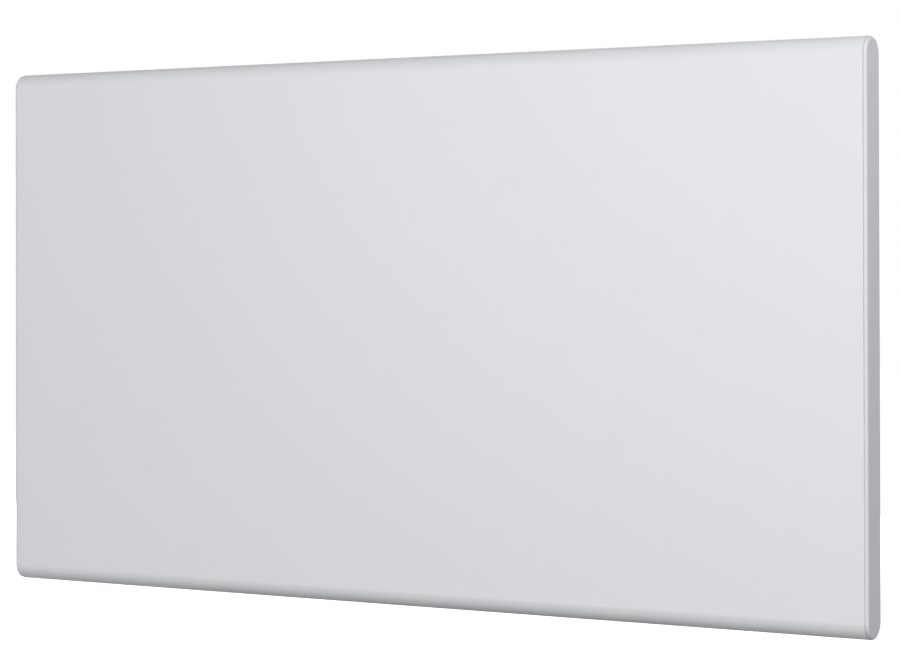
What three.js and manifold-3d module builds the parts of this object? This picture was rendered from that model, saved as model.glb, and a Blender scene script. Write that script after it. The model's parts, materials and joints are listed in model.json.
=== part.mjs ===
// Slim electric panel heater that hangs on a sheet-steel wall bracket.
// Millimetres. X runs along the width, Y points into the wall and Z points up.
// The origin is the middle of the bracket rail's face on the wall, level with the middle of the casing.
import * as THREE from "three";
import { mergeVertices } from "three/addons/utils/BufferGeometryUtils.js";
import Module from "manifold-3d";

const wasm = await Module();
wasm.setup();

// Casing
const CASING_WIDTH = 900;
const CASING_HEIGHT = 500;
const CASING_DEPTH = 30;
const WALL_GAP = 20;
const ELECTRICAL_BAY_LENGTH = 84;

// Clearances
const SEAT_GAP = 0.3; // between a piece and what carries it
const SLIDE_GAP = 0.4; // round what slides or turns
const SEAM_GAP = 0.5; // the shadow line between the front sheet and an end cap
const CUT_OVERRUN = 1; // how far a cut runs past the face that it opens

// Front sheet
const FRONT_WALL = 1;
const REAR_LIP_WIDTH = 35;

// End caps
const CAP_SKIN = 3;
const CAP_EDGE_RADIUS = 2.5;
const CAP_INSET = 0.3; // how far the cap's outline stays inside the sheet's
const SPIGOT_DEPTH = 14;
const SPIGOT_WALL = 2;
const CAP_RIB_WALL = 1.6;
const CAP_RIB_DEPTH = 9;
const CAP_RIB_SHARES = [-0.36, -0.24, -0.12, 0, 0.12, 0.24, 0.36]; // of the casing's height
const SCREW_PLACE_SHARES = [-0.36, 0, 0.36]; // of the casing's height, at three of the ribs
const BOSS_RADIUS = 4;
const BOSS_LENGTH = 11;

// Back panel
const BACK_WALL = 0.8;
const LIP_OVERLAP = 12;
const BEAD_WIDTH = 15;
const BEAD_SLOPE = 3;
const BEAD_PLACE_SHARES = [-0.23, -0.09, 0.09, 0.23]; // of the casing's height
const THIN_BEND = 1.2; // at the middle of a thin sheet's wall
const LOUVRE_LENGTH = 44;
const LOUVRE_OPENING = 4;
const LOUVRE_REACH = 2.4;
const LOUVRE_SLOPE = 4;
const LOUVRE_ROOT = 2;
const LOUVRE_PITCH = 12;
const LOUVRES_IN_GROUP = 3;
const LOUVRE_PLACE_SHARES = [-0.15, 0, 0.15]; // of the casing's height
const BACK_SCREW_RADIUS = 1.75;
const BACK_SCREW_LENGTH = 10;
const BACK_SCREW_HEAD_RADIUS = 3.5;
const BACK_SCREW_HEAD_HEIGHT = 2.2;

// Channels behind the hook and latch slots
const COVER_WIDTH = 48;
const COVER_DEPTH = 6.6;
const COVER_FOOT = 10;
const COVER_WALL = 0.8;
const COVER_END_INSET = 4;

// Heated stack, from the front sheet backwards
const SPREADER_WALL = 1;
const FILM_WALL = 0.5;
const TRACK_WALL = 0.4;
const TRACK_WIDTH = 9;
const TRACK_PITCH = 20;
const TRACK_EDGE = 10; // bare film round the track
const TRACK_TAIL = 12;
const STACK_EDGE = 5; // from the stack's upper and lower edges to the start of the rounds
const STACK_END_GAP = 3;
const STACK_CORNER = 6;
const TRACK_FACETS = 4; // in each half turn of the track

// Sheet between the stack and the electrical bay
const DIVIDER_WALL = 0.8;
const DIVIDER_FLANGE = 8;
const TAIL_SLOT_GAP = 0.6; // round the track's tails where they pass through

// Thermostat, its dial and its sensor
const DIAL_PLACE_SHARE = 0.3; // of the casing's height
const DIAL_RADIUS = 10;
const DIAL_THICKNESS = 4;
const DIAL_RECESS = 1.8;
const DIAL_EDGE_RADIUS = 0.5;
const DIAL_EDGE_FACETS = 1;
const DIAL_GRIPS = 18;
const DIAL_GRIP_FACETS = 4;
const DIAL_GRIP_DEPTH = 0.7;
const DIAL_HUB_RADIUS = 4.4;
const DIAL_HUB_LENGTH = 7;
const DIAL_FACE_WALL = 1.6;
const DIAL_POINTER_WIDTH = 1.4;
const DIAL_POINTER_DEPTH = 0.6;
const DIAL_POINTER_INSET = 1.5;
const SHAFT_RADIUS = 3;
const SHAFT_FLAT = 1; // how deep the flat is cut into the round
const THERMOSTAT_WIDTH = 21;
const THERMOSTAT_HEIGHT = 30;
const THERMOSTAT_LENGTH = 20;
const THERMOSTAT_CORNER = 2;
const THERMOSTAT_BORE_DEPTH = 8; // past the bushing, inside the body
const BUSHING_RADIUS = 4.6;
const BUSHING_LENGTH = 8;
const BUSHING_NUT_RADIUS = 7.5;
const BUSHING_NUT_HEIGHT = 2.4;
const BULB_RADIUS = 2.5;
const BULB_LENGTH = 34;
const BULB_TAPER = 3;
const BULB_OFFSET = 7; // behind the casing's mid-plane, clear of the switch
const CAPILLARY_RADIUS = 0.8;
const CAPILLARY_OFFSET = 5;
const CAPILLARY_HANDLE = 30;
const VENT_PLACE_SHARE = 0.06; // of the casing's height
const VENT_LENGTH = 14;
const VENT_HEIGHT = 2;
const VENT_PITCH = 5;
const VENT_COUNT = 5;
const AIR_WINDOW_WIDTH = 9;
const AIR_WINDOW_HEIGHT = 24;
const AIR_WINDOW_OFFSET = 4; // in front of the casing's mid-plane

// Plate that carries the thermostat
const CONTROL_PLATE_WALL = 1.2;
const CONTROL_PLATE_GAP = 2; // from the end cap's spigot
const CONTROL_PLATE_MARGIN = 25;
const CONTROL_FLANGE = 20;

// Switch
const SWITCH_PLACE_SHARE = 0.18; // of the casing's height
const ROCKER_HALF_LENGTH = 7.2;
const ROCKER_WIDTH = 9.4;
const ROCKER_DIP = 3.4; // from the pivot to the lowest point of the face
const ROCKER_WALL = 2;
const ROCKER_THROW_DEGREES = 10; // each way from the middle
const ROCKER_KEEL = 3.4;
const ROCKER_KEEL_WIDTH = 3;
const ROCKER_PIN_RADIUS = 1.2;
const ROCKER_PIN_REACH = 0.9;
const SWITCH_WALL = 1.3;
const SWITCH_BEZEL = 1.8;
const SWITCH_BEZEL_HEIGHT = 1.2;
const SWITCH_BEZEL_CORNER = 1.5;
const SWITCH_BODY_DEPTH = 14;
const PIVOT_DEPTH = 3.2; // from the bezel's face
const KEEL_CLEARANCE = 1;
const SWITCH_CATCH_REACH = 1;
const SWITCH_CATCH_LENGTH = 3.2;
const SWITCH_CATCH_WIDTH = 6;

// Flat tabs that the wires push on to
const TAB_WIDTH = 4.8;
const TAB_WALL = 0.8;
const TAB_LENGTH = 7;
const TAB_SPACING = 8;
const TAB_ROOT = 1; // how far a tab or a boss is rooted in the body behind it

// Thermal cut-out and thermal fuse
const CUTOUT_PLACE_SHARE = 0.38; // of the casing's height
const CUTOUT_RADIUS = 8;
const CUTOUT_RIM = 9.5;
const CUTOUT_RIM_HEIGHT = 1.2;
const CUTOUT_LENGTH = 7;
const CUTOUT_CAP_RADIUS = 5;
const CUTOUT_CAP_HEIGHT = 1; // sensing face, through the divider
const FUSE_PLACE_SHARE = -0.38; // of the casing's height
const FUSE_RADIUS = 2.2;
const FUSE_LENGTH = 14;
const FUSE_TAPER = 3;

// Supply terminals, earth and cord gland
const TERMINAL_PLACE_SHARE = -0.28; // of the casing's height
const TERMINAL_PITCH = 10;
const TERMINAL_COUNT = 3;
const TERMINAL_HEIGHT = 18;
const TERMINAL_DEPTH = 15;
const TERMINAL_BASE = 6;
const TERMINAL_SLOT = 2;
const TERMINAL_ENTRY_RADIUS = 1.8;
const TERMINAL_ENTRY_DEPTH = 5;
const TERMINAL_SCREW_RADIUS = 1.6;
const TERMINAL_SCREW_DEPTH = 3;
const EARTH_PLACE_SHARE = -0.194; // of the casing's height
const EARTH_STUD_RADIUS = 2;
const EARTH_STUD_LENGTH = 12;
const EARTH_FOOT_RADIUS = 4;
const EARTH_FOOT_HEIGHT = 1;
const EARTH_NUT_RADIUS = 4;
const EARTH_NUT_HEIGHT = 3;
const GLAND_LIP_GAP = 5.5; // from the edge of the front sheet's lower lip to the gland's nut
const GLAND_BORE_RADIUS = 3.8;
const GLAND_BODY_RADIUS = 6;
const GLAND_FLANGE_RADIUS = 9;
const GLAND_FLANGE_HEIGHT = 3;
const GLAND_DOME_HEIGHT = 3;
const GLAND_BODY_LENGTH = 12;
const GLAND_NUT_RADIUS = 9.5;
const GLAND_NUT_HEIGHT = 4;

// Wires inside
const LEAD_RADIUS = 1.1;
const LEAD_STEPS = 14;
const LEAD_SIDES = 5;
const LEAD_LEAVE = 24; // how straight a wire sets off from its end
const LEAD_RISE = 120; // the same for the long wires that climb the bay
const EARTH_LEAD_LEAVE = 8;

// Wall bracket
const ARM_INSET = 190; // from the casing's end to the middle of an arm
const ARM_WIDTH = 36;
const ARM_END_INSET = 55; // from the casing's top and bottom
const ARM_LIP = 6;
const BRACKET_WALL = 1.5;
const BRACKET_BEND = 2.2;
const WALL_SCREW_RADIUS = 2.6;
const WALL_SCREW_PLACE_SHARES = [-0.6, 0.45]; // of half the arm's length
const HOOK_RISE = 85; // from the casing's bottom to the hook's seat
const HOOK_THROAT_GAP = 0.4;
const HOOK_TIP_GAP = 1;
const HOOK_LIP_HEIGHT = 10;
const HOOK_ROOT_HEIGHT = 12;
const HOOK_CHAMFER = 2;
const HOOK_SLOT_SIDE = 1.5;
const HOOK_SLOT_END = 3;
const HOOK_ROOT_DEPTH = 6; // how far a hook plate runs down its flange
const RAIL_HEIGHT = 40;
const RAIL_TAB = 15;
const RAIL_SLOT_WIDTH = 5.4;
const RAIL_SLOT_LENGTH = 16;
const RAIL_SLOT_PLACE_SHARE = 0.5; // of the rail's half length
const RIVET_RADIUS = 2;
const RIVET_HEAD_RADIUS = 3.6;
const RIVET_HEAD_HEIGHT = 1.2;
const RIVET_INSET = 8; // from the rail's upper and lower edges

// Sprung latches in the tops of the arms
const LATCH_TRAVEL = 8;
const LATCH_STOP_INSET = 8; // from the arm's top end
const LATCH_STOP_REACH = 12;
const LATCH_STOP_WIDTH = 16;
const LATCH_HEIGHT = 30;
const LATCH_NECK_WIDTH = 20;
const LATCH_NECK_HEIGHT = 6;
const LATCH_NOSE_DROP = 12; // from the latch's top to its neck
const LATCH_NOSE_HEIGHT = 6;
const LATCH_RAMP = 4;
const LATCH_SLOT_SIDE = 1;
const LATCH_THUMB_WALL = 2.8;
const LATCH_THUMB_WIDTH = 18;
const LATCH_THUMB_RADIUS = 4;
const LATCH_THUMB_INSET = 12; // from the casing's top
const LATCH_THUMB_GAP = 2; // from the stop plate
const LATCH_PEG_RADIUS = 2.4;
const LATCH_PEG_LENGTH = 5;
const LATCH_POCKET_WIDTH = 9;
const LATCH_POCKET_HEIGHT = 20;
const LATCH_POCKET_DEPTH = 10;
const LATCH_POCKET_SPACING = 18;
const SPRING_SEAT_MARGIN = 1;
const SPRING_RADIUS = 4;
const SPRING_WIRE_RADIUS = 0.5;
const SPRING_LENGTH = 28;
const SPRING_TURNS = 6;
const SPRING_STEPS_PER_TURN = 8;
const SPRING_SIDES = 5;
const SPRING_GAP_SAMPLES = 24; // points a turn where the least gap is measured

// Facets
const CASING_FACETS = 22; // in each half round
const ROUND_FACETS = 18;
const SMALL_FACETS = 10;
const BEND_FACETS = 2;
const EDGE_FACETS = 3;
const HEAD_FACETS = 2; // in the rounded edge of a screw's or rivet's head

// Places worked out from the sizes above
const SEAM_X = CASING_WIDTH / 2 - CAP_SKIN; // the cap's shoulder
const SHEET_END_X = SEAM_X - SEAM_GAP;
const SPIGOT_END_X = SEAM_X - SPIGOT_DEPTH;
const SCREW_X = SEAM_X - SPIGOT_DEPTH / 2;
const BACK_Y = -WALL_GAP;
const FRONT_Y = BACK_Y - CASING_DEPTH;
const MID_Y = BACK_Y - CASING_DEPTH / 2;
const ROUND_RADIUS = CASING_DEPTH / 2;
const ROUND_Z = CASING_HEIGHT / 2 - ROUND_RADIUS;
const LIP_Z = ROUND_Z - REAR_LIP_WIDTH;
const BACK_PANEL_Y = BACK_Y - FRONT_WALL - SEAT_GAP; // its outer face
const BACK_PANEL_INNER_Y = BACK_PANEL_Y - BACK_WALL;
const BACK_SEAT_Y = BACK_PANEL_Y + SEAT_GAP; // where what stands outside the back panel begins
const SCREW_TIP_Y = BACK_SEAT_Y - BACK_SCREW_LENGTH;
const BACK_PANEL_HALF_HEIGHT = LIP_Z + LIP_OVERLAP;
const INSIDE_BACK_Y = BACK_PANEL_INNER_Y - SEAT_GAP; // where what stands on the back panel begins
const INSIDE_FRONT_Y = FRONT_Y + FRONT_WALL + SEAT_GAP;
const COVER_FRONT_Y = INSIDE_BACK_Y - COVER_DEPTH;
const COVER_TIP_Y = COVER_FRONT_Y + COVER_WALL + HOOK_TIP_GAP; // how far hooks and latches reach in
const DIVIDER_X = ELECTRICAL_BAY_LENGTH - CASING_WIDTH / 2; // its face in the bay
const STACK_LEFT_X = DIVIDER_X + DIVIDER_WALL + SEAT_GAP;
const STACK_RIGHT_X = SPIGOT_END_X - STACK_END_GAP;
const STACK_HALF_HEIGHT = ROUND_Z - STACK_EDGE;
const SPREADER_Y = INSIDE_FRONT_Y;
const FRONT_FILM_Y = SPREADER_Y + SPREADER_WALL + SEAT_GAP;
const TRACK_Y = FRONT_FILM_Y + FILM_WALL + SEAT_GAP;
const REAR_FILM_Y = TRACK_Y + TRACK_WALL + SEAT_GAP;
const INSULATION_Y = REAR_FILM_Y + FILM_WALL + SEAT_GAP;
const BAY_MID_X = (DIVIDER_X - SPIGOT_END_X) / 2;
const DIAL_Z = DIAL_PLACE_SHARE * CASING_HEIGHT;
const SWITCH_Z = SWITCH_PLACE_SHARE * CASING_HEIGHT;
const VENT_Z = VENT_PLACE_SHARE * CASING_HEIGHT;
const CONTROL_PLATE_X = CONTROL_PLATE_GAP - SPIGOT_END_X; // its face towards the end cap
const THERMOSTAT_X = CONTROL_PLATE_X + CONTROL_PLATE_WALL + SEAT_GAP;
const THERMOSTAT_END_X = THERMOSTAT_X + THERMOSTAT_LENGTH;
const BUSHING_END_X = THERMOSTAT_X - BUSHING_LENGTH;
const DIAL_BACK_X = DIAL_RECESS - CASING_WIDTH / 2 - SLIDE_GAP;
const DIAL_FACE_X = DIAL_BACK_X - DIAL_THICKNESS;
const ROCKER_THROW = THREE.MathUtils.degToRad(ROCKER_THROW_DEGREES);
const ROCKER_END_HEIGHT = ROCKER_DIP + ROCKER_HALF_LENGTH * Math.tan(ROCKER_THROW);
const ROCKER_END_ANGLE = Math.atan(ROCKER_END_HEIGHT / ROCKER_HALF_LENGTH) - ROCKER_THROW;
const ROCKER_REACH = Math.hypot(ROCKER_HALF_LENGTH, ROCKER_END_HEIGHT) * Math.cos(ROCKER_END_ANGLE);
const SWITCH_BODY_WIDTH = ROCKER_WIDTH + 2 * SLIDE_GAP + 2 * SWITCH_WALL;
const SWITCH_BODY_HEIGHT = 2 * (ROCKER_REACH + SLIDE_GAP + SWITCH_WALL);
const SWITCH_SEAT_X = -CASING_WIDTH / 2 - SEAT_GAP; // the bezel's underside
const SWITCH_FACE_X = SWITCH_SEAT_X - SWITCH_BEZEL_HEIGHT;
const SWITCH_END_X = SWITCH_SEAT_X + SWITCH_BODY_DEPTH;
const PIVOT_X = SWITCH_FACE_X + PIVOT_DEPTH;
const CUTOUT_Z = CUTOUT_PLACE_SHARE * CASING_HEIGHT;
const CUTOUT_SEAT_X = DIVIDER_X - SEAT_GAP;
const CUTOUT_END_X = CUTOUT_SEAT_X - CUTOUT_LENGTH;
const FUSE_X = DIVIDER_X - SEAT_GAP - FUSE_RADIUS;
const FUSE_Z = FUSE_PLACE_SHARE * CASING_HEIGHT;
const TERMINAL_Z = TERMINAL_PLACE_SHARE * CASING_HEIGHT;
const TERMINAL_TOP_Z = TERMINAL_Z + TERMINAL_HEIGHT / 2;
const TERMINAL_FRONT_Y = INSIDE_BACK_Y - TERMINAL_DEPTH;
const TERMINAL_ENTRY_Y = INSIDE_BACK_Y - TERMINAL_DEPTH / 2;
const EARTH_X = BAY_MID_X - TERMINAL_PITCH;
const EARTH_Z = EARTH_PLACE_SHARE * CASING_HEIGHT;
const GLAND_Z = GLAND_NUT_RADIUS + GLAND_LIP_GAP - LIP_Z;
const TRACK_HALF_SPAN = STACK_HALF_HEIGHT - TRACK_EDGE - TRACK_WIDTH / 2;
const TRACK_RUNS = 2 * Math.floor((2 * TRACK_HALF_SPAN + TRACK_PITCH) / (2 * TRACK_PITCH));
const TRACK_BOTTOM_Z = ((1 - TRACK_RUNS) * TRACK_PITCH) / 2;
const TRACK_END_X = DIVIDER_X - TRACK_TAIL;
const TAIL_WIRE_X = TRACK_END_X - SEAT_GAP;
const ARM_X = CASING_WIDTH / 2 - ARM_INSET;
const ARM_DEPTH = WALL_GAP - SEAT_GAP;
const ARM_HALF_LENGTH = CASING_HEIGHT / 2 - ARM_END_INSET;
const ARM_FLANGE_X = (ARM_WIDTH - BRACKET_WALL) / 2; // middle of a flange's wall, from the arm's middle
const HOOK_Z = HOOK_RISE - CASING_HEIGHT / 2;
const HOOK_LIP_Y = BACK_PANEL_INNER_Y - HOOK_THROAT_GAP;
const LATCH_TOP_Z = ARM_HALF_LENGTH - LATCH_STOP_INSET - SEAT_GAP;
const LATCH_BOTTOM_Z = LATCH_TOP_Z - LATCH_HEIGHT;
const LATCH_NECK_TOP_Z = LATCH_TOP_Z - LATCH_NOSE_DROP;
const SPRING_TOP_Z = LATCH_BOTTOM_Z - SEAT_GAP;
const SPRING_SEAT_Z = SPRING_TOP_Z - SPRING_LENGTH - SEAT_GAP; // the upper face of its seat
const CHANNEL_MID_Y = -ARM_DEPTH / 2;
const RIVET_SPACING = RAIL_HEIGHT - 2 * RIVET_INSET;

// Points and outlines

function at(x, y) {
  return new THREE.Vector2(x, y);
}

// Points along a round stretch, both ends included, turning whichever way the angles run.
function arc(x, y, radius, from, to, facets) {
  return new THREE.EllipseCurve(x, y, radius, radius, from, to, to < from).getPoints(facets);
}

function roundOutline(x, y, radius, facets) {
  return arc(x, y, radius, 0, 2 * Math.PI, facets).slice(1);
}

function hexagonOutline(x, y, radius) {
  return roundOutline(x, y, radius, 6);
}

function boxOutline(x, y, width, height) {
  return roundedOutline(x, y, width, height, 0);
}

// A rectangle with round corners, or a slot where the corner is half its width.
function roundedOutline(x, y, width, height, corner) {
  const right = width / 2 - corner;
  const top = height / 2 - corner;
  const corners = [[right, top], [-right, top], [-right, -top], [right, -top]];
  if (corner === 0) {
    return corners.map(([across, up]) => at(x + across, y + up));
  }
  return corners.flatMap(([across, up], turn) => {
    const start = (turn * Math.PI) / 2;
    return arc(x + across, y + up, corner, start, start + Math.PI / 2, BEND_FACETS);
  });
}

// One face of a folded sheet: it runs half a wall to the left of the corner points, round at each bend.
function sheetSide(corners, wall, bend) {
  const half = wall / 2;
  const side = [];
  corners.forEach((corner, index) => {
    const before = corners[index - 1];
    const after = corners[index + 1];
    const run = (after ? after.clone().sub(corner) : corner.clone().sub(before)).normalize();
    const left = at(-run.y, run.x);
    if (!before || !after) {
      side.push(corner.clone().addScaledVector(left, half));
      return;
    }
    const arriving = corner.clone().sub(before).normalize();
    const turn = Math.atan2(arriving.cross(run), arriving.dot(run));
    const inward = Math.sign(turn);
    const setback = bend * Math.tan(Math.abs(turn) / 2);
    const normal = at(-arriving.y, arriving.x);
    const centre = corner.clone().addScaledVector(arriving, -setback).addScaledVector(normal, bend * inward);
    const start = Math.atan2(-normal.y * inward, -normal.x * inward);
    side.push(...arc(centre.x, centre.y, bend - inward * half, start, start + turn, BEND_FACETS));
  });
  return side;
}

// The section of a sheet whose middle runs through the corner points.
function sheetOutline(corners, wall, bend) {
  return [...sheetSide(corners, wall, bend), ...sheetSide([...corners].reverse(), wall, bend)];
}

// The casing's section at a given radius, cut off flat at the back where backFace lies inside the rounds.
function casingOutline(radius, backFace) {
  const cut = Math.acos(Math.min(1, (backFace - MID_Y) / radius));
  return [
    ...arc(MID_Y, ROUND_Z, radius, cut, Math.PI, CASING_FACETS),
    ...arc(MID_Y, -ROUND_Z, radius, Math.PI, 2 * Math.PI - cut, CASING_FACETS),
  ];
}

// Solids

const X = new THREE.Vector3(1, 0, 0);
const Y = new THREE.Vector3(0, 1, 0);
const Z = new THREE.Vector3(0, 0, 1);
const SECTION_YZ = new THREE.Matrix4().makeBasis(Y, Z, X);
const SECTION_XZ = new THREE.Matrix4().makeBasis(X, Z, Y.clone().negate());
const LATHE_ON_X = new THREE.Matrix4().makeBasis(Y, X, Z.clone().negate());
const LATHE_ON_Y = new THREE.Matrix4();
const LATHE_ON_Z = new THREE.Matrix4().makeBasis(X, Z, Y.clone().negate());

function solidOf(geometry) {
  geometry.deleteAttribute("normal");
  geometry.deleteAttribute("uv");
  const merged = mergeVertices(geometry);
  return new wasm.Manifold(
    new wasm.Mesh({
      numProp: 3,
      vertProperties: merged.attributes.position.array,
      triVerts: new Uint32Array(merged.index.array),
    }),
  );
}

function extruded(outline, depth, bevel = {}) {
  return new THREE.ExtrudeGeometry(new THREE.Shape(outline), { depth, bevelEnabled: false, ...bevel });
}

// A straight solid between two places along X, from an outline in Y and Z.
function alongX(outline, from, to) {
  const body = extruded(outline, Math.abs(to - from));
  return solidOf(body.translate(0, 0, Math.min(from, to)).applyMatrix4(SECTION_YZ));
}

// The same with rounded end edges.
function roundedAlongX(outline, from, to, edge, facets) {
  const body = extruded(outline, Math.abs(to - from) - 2 * edge, {
    bevelEnabled: true,
    bevelThickness: edge,
    bevelSize: edge,
    bevelOffset: -edge,
    bevelSegments: facets,
  });
  return solidOf(body.translate(0, 0, Math.min(from, to) + edge).applyMatrix4(SECTION_YZ));
}

// A straight solid between two places along Y, from an outline in X and Z.
function alongY(outline, from, to) {
  return solidOf(extruded(outline, to - from).translate(0, 0, -to).applyMatrix4(SECTION_XZ));
}

// A straight solid between two places along Z, from an outline in X and Y.
function alongZ(outline, from, to) {
  return solidOf(extruded(outline, to - from).translate(0, 0, from));
}

// A turned solid at a place, from a profile of radius and height that closes on itself or on its axis.
function turned(profile, basis, place, facets) {
  const outward = THREE.ShapeUtils.isClockWise(profile) ? [...profile].reverse() : profile;
  const ring = outward[0].x > 0 ? [...outward, outward[0]] : outward;
  return solidOf(new THREE.LatheGeometry(ring, facets).applyMatrix4(basis).translate(...place));
}

function join(first, ...others) {
  return others.reduce((sum, other) => sum.add(other), first);
}

function cut(body, ...tools) {
  return tools.reduce((rest, tool) => rest.subtract(tool), body);
}

// A round tube along a curve.
function tube(extrudePath, radius, sides, steps) {
  const section = new THREE.Shape(roundOutline(0, 0, radius, sides));
  return solidOf(new THREE.ExtrudeGeometry(section, { extrudePath, steps, bevelEnabled: false }));
}

// A soft curve from one place to another, leaving and arriving along the given vectors.
function sweep([from, leaving], [to, arriving]) {
  const start = new THREE.Vector3(...from);
  const end = new THREE.Vector3(...to);
  const early = start.clone().add(new THREE.Vector3(...leaving));
  const late = end.clone().sub(new THREE.Vector3(...arriving));
  return new THREE.CubicBezierCurve3(start, early, late, end);
}

// Offsets of evenly spaced places about a middle.
function countedPlaces(count, pitch) {
  return Array.from({ length: count }, (_, index) => (index - (count - 1) / 2) * pitch);
}

// Casing

function frontPanel() {
  const innerRadius = ROUND_RADIUS - FRONT_WALL;
  const outline = [
    at(BACK_Y, -LIP_Z),
    ...arc(MID_Y, -ROUND_Z, ROUND_RADIUS, 0, -Math.PI, CASING_FACETS),
    ...arc(MID_Y, ROUND_Z, ROUND_RADIUS, Math.PI, 0, CASING_FACETS),
    at(BACK_Y, LIP_Z),
    at(BACK_Y - FRONT_WALL, LIP_Z),
    ...arc(MID_Y, ROUND_Z, innerRadius, 0, Math.PI, CASING_FACETS),
    ...arc(MID_Y, -ROUND_Z, innerRadius, -Math.PI, 0, CASING_FACETS),
    at(BACK_Y - FRONT_WALL, -LIP_Z),
  ];
  return alongX(outline, -SHEET_END_X, SHEET_END_X);
}

// A cap's outer skin, with a rounded outer edge, on the right (side 1) or on the left (side -1).
function capSkin(side) {
  const radius = ROUND_RADIUS - CAP_INSET;
  const edge = Math.min(CAP_EDGE_RADIUS, CAP_SKIN);
  const inner = side * (SEAM_X - 2 * CAP_SKIN);
  const outer = side * (SEAM_X + CAP_SKIN);
  const block = roundedAlongX(casingOutline(radius, MID_Y + radius), inner, outer, edge, EDGE_FACETS);
  const waste = boxOutline(MID_Y, 0, CASING_DEPTH + CUT_OVERRUN, CASING_HEIGHT + CUT_OVERRUN);
  return cut(block, alongX(waste, inner - side * CUT_OVERRUN, side * SEAM_X));
}

// An end cap plugs into the sheet with an open, ribbed spigot and takes the back panel's screws.
function endCap(side) {
  const radius = ROUND_RADIUS - FRONT_WALL - SEAT_GAP;
  const innerRadius = radius - SPIGOT_WALL;
  const rearWall = INSIDE_BACK_Y - SPIGOT_WALL;
  const anchor = side * (SEAM_X + CAP_SKIN / 2);
  const spigot = alongX(casingOutline(radius, INSIDE_BACK_Y), side * SPIGOT_END_X, anchor);
  const mouth = side * (SPIGOT_END_X - CUT_OVERRUN);
  const hollow = alongX(casingOutline(innerRadius, rearWall), mouth, side * SEAM_X);
  const ribFront = MID_Y - innerRadius - SPIGOT_WALL / 2;
  const ribRear = rearWall + SPIGOT_WALL / 2;
  const ribs = CAP_RIB_SHARES.map((share) => {
    const outline = boxOutline(
      (ribFront + ribRear) / 2,
      share * CASING_HEIGHT,
      ribRear - ribFront,
      CAP_RIB_WALL,
    );
    return alongX(outline, side * (SEAM_X - CAP_RIB_DEPTH), anchor);
  });
  const bosses = SCREW_PLACE_SHARES.map((share) => {
    const outline = roundOutline(side * SCREW_X, share * CASING_HEIGHT, BOSS_RADIUS, SMALL_FACETS);
    return alongY(outline, rearWall - BOSS_LENGTH, ribRear);
  });
  const pilots = SCREW_PLACE_SHARES.map((share) => {
    const hole = BACK_SCREW_RADIUS + SEAT_GAP;
    const outline = roundOutline(side * SCREW_X, share * CASING_HEIGHT, hole, SMALL_FACETS);
    return alongY(outline, SCREW_TIP_Y - SEAT_GAP, INSIDE_BACK_Y + CUT_OVERRUN);
  });
  return cut(join(capSkin(side), cut(spigot, hollow), ...ribs, ...bosses), ...pilots);
}

// The left cap also has the dial's recess, the switch's window and the sensor's air slots.
function leftCap() {
  const face = -CASING_WIDTH / 2;
  const outside = face - CUT_OVERRUN;
  const inside = face + CAP_SKIN + CUT_OVERRUN;
  const recess = roundOutline(MID_Y, DIAL_Z, DIAL_RADIUS + SLIDE_GAP, ROUND_FACETS);
  const hubHole = roundOutline(MID_Y, DIAL_Z, DIAL_HUB_RADIUS + SLIDE_GAP, ROUND_FACETS);
  const window = boxOutline(
    MID_Y,
    SWITCH_Z,
    SWITCH_BODY_WIDTH + 2 * SEAT_GAP,
    SWITCH_BODY_HEIGHT + 2 * SEAT_GAP,
  );
  const vents = countedPlaces(VENT_COUNT, VENT_PITCH).map((up) =>
    alongX(roundedOutline(MID_Y, VENT_Z + up, VENT_LENGTH, VENT_HEIGHT, VENT_HEIGHT / 2), outside, inside),
  );
  return cut(
    endCap(-1),
    alongX(recess, outside, face + DIAL_RECESS),
    alongX(hubHole, outside, inside),
    alongX(window, outside, inside),
    ...vents,
  );
}

// Back panel

function backSheet() {
  const middle = BACK_PANEL_Y - BACK_WALL / 2;
  const crest = middle + FRONT_WALL + SEAT_GAP;
  const flat = BEAD_WIDTH / 2;
  const foot = flat + BEAD_SLOPE;
  const beads = BEAD_PLACE_SHARES.flatMap((share) => {
    const z = share * CASING_HEIGHT;
    return [at(middle, z - foot), at(crest, z - flat), at(crest, z + flat), at(middle, z + foot)];
  });
  const corners = [at(middle, -BACK_PANEL_HALF_HEIGHT), ...beads, at(middle, BACK_PANEL_HALF_HEIGHT)];
  return alongX(sheetOutline(corners, BACK_WALL, THIN_BEND), -SHEET_END_X, SHEET_END_X);
}

// Where the hooks and the latches reach in, with room to lift the panel on and to press the latches.
function bracketSlots() {
  const hookTop = HOOK_Z + SEAT_GAP;
  const hookBottom = HOOK_Z - HOOK_ROOT_HEIGHT - HOOK_LIP_HEIGHT - HOOK_SLOT_END;
  const hookWidth = BRACKET_WALL + 2 * HOOK_SLOT_SIDE;
  const latchTop = LATCH_NECK_TOP_Z + SEAT_GAP;
  const latchBottom = LATCH_NECK_TOP_Z - LATCH_NECK_HEIGHT - LATCH_TRAVEL - LATCH_SLOT_SIDE;
  const latchWidth = LATCH_NECK_WIDTH + 2 * LATCH_SLOT_SIDE;
  return [-ARM_X, ARM_X].flatMap((x) => [
    boxOutline(x - ARM_FLANGE_X, (hookTop + hookBottom) / 2, hookWidth, hookTop - hookBottom),
    boxOutline(x + ARM_FLANGE_X, (hookTop + hookBottom) / 2, hookWidth, hookTop - hookBottom),
    boxOutline(x, (latchTop + latchBottom) / 2, latchWidth, latchTop - latchBottom),
  ]);
}

function louvrePlaces() {
  return LOUVRE_PLACE_SHARES.flatMap((share) =>
    countedPlaces(LOUVRES_IN_GROUP, LOUVRE_PITCH).map((up) => share * CASING_HEIGHT + up),
  );
}

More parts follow.
